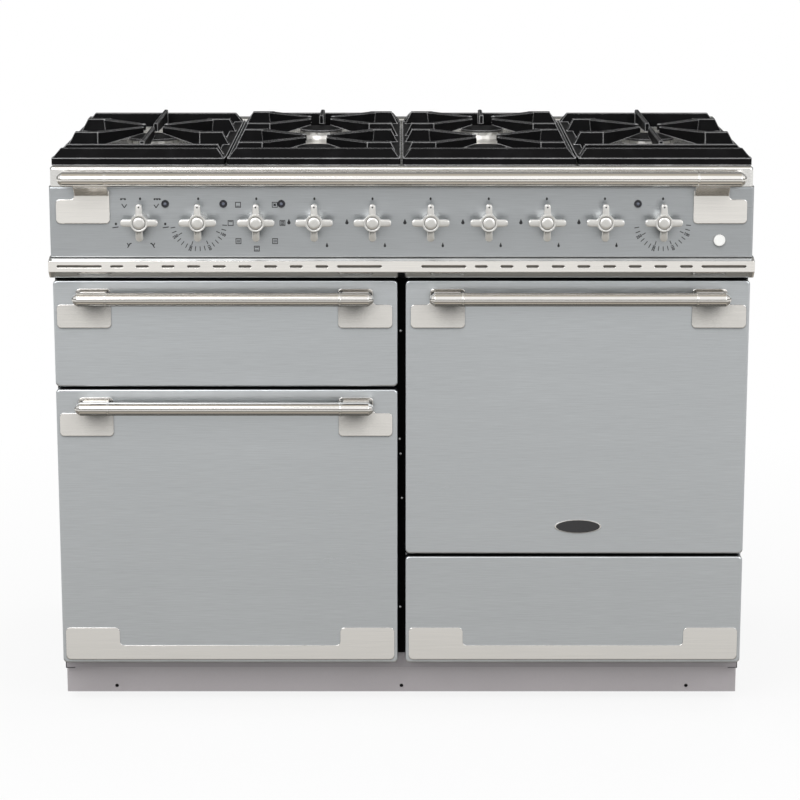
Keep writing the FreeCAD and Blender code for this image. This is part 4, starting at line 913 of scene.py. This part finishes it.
class COOKER_OT_lamp_lenses(bpy.types.Operator):
    """Set a small pale lens in the middle of each indicator lamp"""

    bl_idname = "cooker.lamp_lenses"
    bl_label = "Lamp lenses"

    def execute(self, context):
        lens = moulded_plastic("Lens plastic", (0.1, 0.115, 0.16), 0.12, 1.0)
        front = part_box("indicator_lamps")[0].y
        height = box_middle("indicator_lamps").z
        shape = bmesh.new()
        dome = ((0, -0.3), (2.2, -0.3), (2.2, 0.1), (1.9, 0.4), (1.2, 0.62), (0, 0.7))
        for x in self.places():
            lathe(shape, dome, Vector((x, front, height)))
        close_piece("lamp_lenses", shape, lens, "carcass", soft=True)
        return {"FINISHED"}

    def places(self):
        """The four lamps' places along X: points of the CAD piece closer than a lamp's width
        belong to one lamp."""
        lamp_width = 20 * MM
        found = []
        for x in sorted(vert.co.x for vert in frame["nodes"]["indicator_lamps"].data.vertices):
            if not found or x > found[-1][0] + lamp_width:
                found.append([x, x])
            found[-1][1] = x
        return [(first + last) / 2 for first, last in found]


class COOKER_OT_vent_duct(bpy.types.Operator):
    """Hang the dull duct wall that shows through the slots of the vent strip"""

    bl_idname = "cooker.vent_duct"
    bl_label = "Vent duct"

    set_back: length("Set back", "Front of the vent strip to the duct wall", 4.5 * MM)
    shorter: length("Shorter", "How much shorter the wall is than the strip", 12 * MM)
    sheet: length("Sheet", "Thickness of the wall", 0.8 * MM)
    height: length("Height", "Height of the wall", 12 * MM)
    lift: length("Lift", "Middle of the strip to the middle of the wall", 3 * MM)

    def execute(self, context):
        low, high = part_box("vent_strip")
        shape = bmesh.new()
        centre = Vector((0, low.y + self.set_back, (low.z + high.z) / 2 + self.lift))
        width = high.x - low.x - self.shorter
        place = Matrix.Translation(centre) @ Matrix.Diagonal((width, self.sheet, self.height, 1.0))
        bmesh.ops.create_cube(shape, size=1.0, matrix=place)
        wall = satin_paint("Duct wall", (0.2, 0.185, 0.16), 0.6)
        close_piece("vent_duct", shape, wall, "carcass")
        return {"FINISHED"}


class COOKER_OT_plinth_cups(bpy.types.Operator):
    """Fit dark cups behind the plinth's three holes, dark things that stand in for the shade seen
    through them
    """

    bl_idname = "cooker.plinth_cups"
    bl_label = "Plinth cups"

    side: length("Side", "Middle of the plinth to its outer holes", 461 * MM)
    height: length("Height", "Middle of the holes above the floor", 25 * MM)
    sheet: length("Sheet", "Thickness of the plinth's sheet", 1.5 * MM)

    def execute(self, context):
        sheet_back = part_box("plinth")[0].y + self.sheet
        cup = ((0, -9), (8, -9), (8, -0.05), (6.5, -0.05), (6.5, -7.5), (0, -7.5))
        shape = bmesh.new()
        for x in (-self.side, 0, self.side):
            lathe(shape, cup, Vector((x, sheet_back, self.height)))
        # Near black: painted shade behind the holes
        plastic = moulded_plastic("Cup plastic", (0.008, 0.008, 0.008), 0.6)
        close_piece("plinth_cups", shape, plastic, "carcass", soft=True)
        return {"FINISHED"}


class COOKER_OT_door_plate(bpy.types.Operator):
    """Set the bare oval plate low on the right oven door"""

    bl_idname = "cooker.door_plate"
    bl_label = "Door plate"

    width: length("Width", "Width of the plate", 74 * MM)
    height: length("Height", "Height of the plate", 22 * MM)
    rise: length("Rise", "How far the plate stands out", 1.6 * MM)
    aside: length("Aside", "Middle of the door to the plate", 5.5 * MM)
    above: length("Above", "Foot of the door to the plate's middle", 45 * MM)
    rounding: length("Rounding", "Rounding of the plate's edge", 0.5 * MM)

    def execute(self, context):
        low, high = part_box("right_oven_door")
        centre = Vector(((low.x + high.x) / 2 + self.aside, low.y, low.z + self.above))
        tints = context.scene.cooker_finishes
        rim = satin_metal("Plate rim", tints.trim, 0.15)
        face = gloss_enamel("Plate enamel", shade(tints.plate, 1.0), 0.12, shade(tints.plate, 1.6))
        for name, material, share, depth in (("door_plate_rim", rim, 1.0, self.rise * 0.7),
                                             ("door_plate", face, 0.94, self.rise)):
            shape = bmesh.new()
            disc(shape, centre - Vector((0, depth / 2, 0)), self.width / 2 * share,
                 self.height / 2 * share, depth, 64)
            ring = [edge for edge in shape.edges
                    if all(vert.co.y < centre.y - depth * 0.9 for vert in edge.verts)]
            round_edges(shape, ring, self.rounding, 3)
            close_piece(name, shape, material, "right_oven_door")
        return {"FINISHED"}


# Places of the screws between the columns, right of the middle and above the floor, in millimetres
COLUMN_SCREWS = ((-1.5, 618), (-3.0, 445), (-1.5, 421), (0.5, 349), (-2.0, 170))


class COOKER_OT_column_screws(bpy.types.Operator):
    """Set the silver screw heads in the gap between the two columns"""

    bl_idname = "cooker.column_screws"
    bl_label = "Column screws"

    radius: length("Radius", "Radius of a screw head", 2.0 * MM)
    rise: length("Rise", "How far a head stands out", 1.5 * MM)

    def execute(self, context):
        steel = satin_metal("Screw steel", (0.3, 0.3, 0.3), 0.35)
        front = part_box("front_frame")[0].y
        shape = bmesh.new()
        for x, z in COLUMN_SCREWS:
            place = (Matrix.Translation((x * MM, front, z * MM)) @ Matrix.Rotation(TURN / 4, 4, "X")
                     @ Matrix.Diagonal((1, 1, self.rise / self.radius, 1)))
            bmesh.ops.create_uvsphere(shape, u_segments=20, v_segments=10, radius=self.radius,
                                      matrix=place)
        whole = shape.verts[:] + shape.edges[:] + shape.faces[:]
        inside = bmesh.ops.bisect_plane(shape, geom=whole, plane_co=(0, front, 0),
                                        plane_no=(0, 1, 0), clear_outer=True)
        rims = [edge for edge in inside["geom_cut"] if isinstance(edge, bmesh.types.BMEdge)]
        bmesh.ops.holes_fill(shape, edges=rims, sides=0)
        close_piece("column_screws", shape, steel, "carcass")
        return {"FINISHED"}


class COOKER_OT_side_screws(bpy.types.Operator):
    """Drive the hexagon screws that hold the side panels"""

    bl_idname = "cooker.side_screws"
    bl_label = "Side screws"

    flange: length("Flange", "Radius of the washer under a head", 4.6 * MM)
    head: length("Head", "Radius of a hexagon", 3.7 * MM)
    inset: length("Inset", "Screws to the edge of a panel", 14 * MM)
    flange_rise: length("Flange rise", "How far a washer stands out", 0.7 * MM)
    head_rise: length("Head rise", "How far a head stands out", 2.2 * MM)

    def execute(self, context):
        steel = satin_metal("Side screw steel", (0.42, 0.42, 0.43), 0.3)
        stack = ((self.flange, self.flange_rise, 32), (self.head, self.head_rise, 6))
        shape = bmesh.new()
        for side in (-1, 1):
            low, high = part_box("left_side_panel" if side < 0 else "right_side_panel")
            face = low.x if side < 0 else high.x
            rear = high.y - self.inset
            foot = low.z + self.inset
            tall = high.z - self.inset - foot
            deep = rear - low.y - self.inset
            # Five up the rear edge, then three more along the foot
            spots = [(rear, foot + tall * i / 4) for i in range(5)]
            spots += [(rear - deep * i / 3, foot) for i in range(1, 4)]
            for y, z in spots:
                for radius, rise, corners in stack:
                    place = (Matrix.Translation((face + side * rise / 2, y, z))
                             @ Matrix.Rotation(TURN / 4, 4, "Y"))
                    bmesh.ops.create_cone(shape, cap_ends=True, segments=corners, radius1=radius,
                                          radius2=radius, depth=rise, matrix=place)
        close_piece("side_screws", shape, steel, "carcass")
        return {"FINISHED"}


FLOOR_GREY = (0.84, 0.84, 0.84, 1.0)
WARM = (0.5, 0.46, 0.4, 1.0)
DIM = (0.24, 0.225, 0.2, 1.0)
PALE = (0.79, 0.785, 0.77, 1.0)
DARK = (0.12, 0.12, 0.115, 1.0)
WHITE = (1.0, 1.0, 1.0, 1.0)
# What polished metal sees of the room, from straight down at 0 to straight up at 1
DOME = (
    (0.0, DARK), (0.02, DARK), (0.05, WARM), (0.12, WARM), (0.17, DIM), (0.28, DIM), (0.36, PALE),
    (0.475, PALE), (0.495, DARK), (0.575, DARK), (0.61, WHITE), (0.93, WHITE), (0.96, WARM),
    (1.0, WARM),
)
# The point that the lamps are aimed at
AIM = Vector((0, 0, 0.5))


class COOKER_OT_studio(bpy.types.Operator):
    """Lay the pale floor and set the lamps, the room's light and the camera"""

    bl_idname = "cooker.studio"
    bl_label = "Studio"

    def execute(self, context):
        studio = context.scene.cooker_studio
        self.floor(studio)
        self.room(context, studio)
        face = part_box("right_oven_door")[0].y
        self.lamp("Key lamp", place=(-1.7, face - 2.4, 2.7), size=2.4, power=studio.key)
        self.lamp("Fill lamp", place=(2.3, face - 2.2, 1.9), size=1.8, power=studio.fill)
        self.lamp("Top lamp", place=(0.2, 0.9, 2.9), size=1.6, power=studio.fill * 0.7,
                  mirrored=False)
        camera = bpy.data.cameras.new("Camera")
        camera.lens = studio.lens
        eye = bpy.data.objects.new("Camera", camera)
        eye.location = (-studio.aside, face - studio.distance, studio.height)
        eye.rotation_euler = Euler((TURN / 4 - studio.tilt, 0, 0))
        context.scene.collection.objects.link(eye)
        context.scene.camera = eye
        context.scene.view_settings.view_transform = "Standard"
        return {"FINISHED"}

    def floor(self, studio):
        """A wide disc that passes into white away from the object."""
        shape = bmesh.new()
        bmesh.ops.create_circle(shape, cap_ends=True, segments=96, radius=studio.floor)
        mesh = bpy.data.meshes.new("Floor")
        shape.to_mesh(mesh)
        shape.free()
        finish = new_finish("Pale floor")
        away = finish.add("VectorMath", {"operation": "LENGTH"}, {0: finish.where()}, "Value")
        camera = finish.add("LightPath", {}, {}, "Is Camera Ray")
        glossy = finish.add("LightPath", {}, {}, "Is Glossy Ray")
        # White is complete 1.8 m from the object's middle
        distant = finish.steep(away, 0.7, 1.8)
        lift = camera * (studio.floor_lift + distant * (1 - studio.floor_lift))
        matt = finish.add("BsdfDiffuse", {}, {"Color": FLOOR_GREY})
        white = finish.add("Emission", {}, {"Strength": 1.0})
        clear = finish.add("BsdfTransparent", {}, {})
        lit = finish.add("MixShader", {}, {0: lift, 1: matt, 2: white})
        mix = finish.add("MixShader", {}, {0: glossy, 1: lit, 2: clear})
        finish.add("OutputMaterial", {}, {"Surface": mix})
        mesh.materials.append(finish.owner)
        floor = bpy.data.objects.new("Floor", mesh)
        bpy.context.scene.collection.objects.link(floor)

    def room(self, context, studio):
        """White to the camera, a pale dome with a darker horizon to polished metal."""
        world = bpy.data.worlds.new("Room")
        context.scene.world = world
        finish = Finish(world)
        toward = finish.add("TexCoord", {}, {}, "Generated")
        rise = finish.add("SeparateXYZ", {}, {0: toward}, 2)
        dome = finish.add("ValToRGB", {"stops": DOME}, {0: rise * 0.5 + 0.5})
        # The room is darker behind the object, over the horizon
        behind = finish.steep(finish.add("SeparateXYZ", {}, {0: toward}, 1), -0.05, 0.45)
        above = finish.steep(rise, -0.05, 0.05)
        walls = finish.blend(dome, DARK, behind * above * 0.82)
        glossy = finish.add("LightPath", {}, {}, "Is Glossy Ray")
        through = finish.add("LightPath", {}, {}, "Is Transmission Ray")
        camera = finish.add("LightPath", {}, {}, "Is Camera Ray")
        soft = finish.add("Background", {}, {"Color": WHITE, "Strength": studio.room})
        shown = finish.add("Background", {}, {"Color": walls, "Strength": 1.0})
        white = finish.add("Background", {}, {"Color": WHITE, "Strength": 1.0})
        seen = finish.add("MixShader", {}, {0: glossy + through, 1: soft, 2: shown})
        whole = finish.add("MixShader", {}, {0: camera, 1: seen, 2: white})
        finish.add("OutputWorld", {}, {"Surface": whole})

    def lamp(self, name, place, size, power, mirrored=True):
        """A soft square lamp aimed at the object's middle, seen or unseen in polished metal."""
        light = bpy.data.lights.new(name, "AREA")
        light.size = size
        light.energy = power
        lamp = bpy.data.objects.new(name, light)
        lamp.location = place
        lamp.visible_glossy = mirrored
        lamp.rotation_euler = (AIM - lamp.location).to_track_quat("-Z", "Y").to_euler()
        bpy.context.scene.collection.objects.link(lamp)


class COOKER_PT_sidebar(bpy.types.Panel):
    """Lists the cooker's settings and steps"""

    bl_idname = "COOKER_PT_sidebar"
    bl_label = "Range cooker"
    bl_space_type = "VIEW_3D"
    bl_region_type = "UI"
    bl_category = "Cooker"

    def draw(self, context):
        for step in STEPS:
            self.layout.operator(step.bl_idname)
        for group in ("cooker_finishes", "cooker_marks", "cooker_studio"):
            box = self.layout.box()
            settings = getattr(context.scene, group)
            for name in settings.__annotations__:
                box.prop(settings, name)


STEPS = (
    COOKER_OT_finishes,
    COOKER_OT_knobs,
    COOKER_OT_temperature_dials,
    COOKER_OT_gas_marks,
    COOKER_OT_oven_icons,
    COOKER_OT_grill_icons,
    COOKER_OT_lamp_lenses,
    COOKER_OT_vent_duct,
    COOKER_OT_plinth_cups,
    COOKER_OT_door_plate,
    COOKER_OT_column_screws,
    COOKER_OT_side_screws,
    COOKER_OT_studio,
)
SETTINGS = {
    "cooker_finishes": CookerFinishes,
    "cooker_marks": CookerMarks,
    "cooker_studio": CookerStudio,
}


def register():
    for name, group in SETTINGS.items():
        bpy.utils.register_class(group)
        setattr(bpy.types.Scene, name, bpy.props.PointerProperty(type=group))
    for step in STEPS + (COOKER_PT_sidebar,):
        bpy.utils.register_class(step)


def unregister():
    for step in STEPS + (COOKER_PT_sidebar,):
        bpy.utils.unregister_class(step)
    for name, group in SETTINGS.items():
        delattr(bpy.types.Scene, name)
        bpy.utils.unregister_class(group)


def main():
    """Runs every step."""
    register()
    bpy.ops.cooker.finishes()
    bpy.ops.cooker.knobs()
    bpy.ops.cooker.temperature_dials()
    bpy.ops.cooker.gas_marks()
    bpy.ops.cooker.oven_icons()
    bpy.ops.cooker.grill_icons()
    bpy.ops.cooker.lamp_lenses()
    bpy.ops.cooker.vent_duct()
    bpy.ops.cooker.plinth_cups()
    bpy.ops.cooker.door_plate()
    bpy.ops.cooker.column_screws()
    bpy.ops.cooker.side_screws()
    bpy.ops.cooker.studio()


if __name__ == "__main__":
    main()
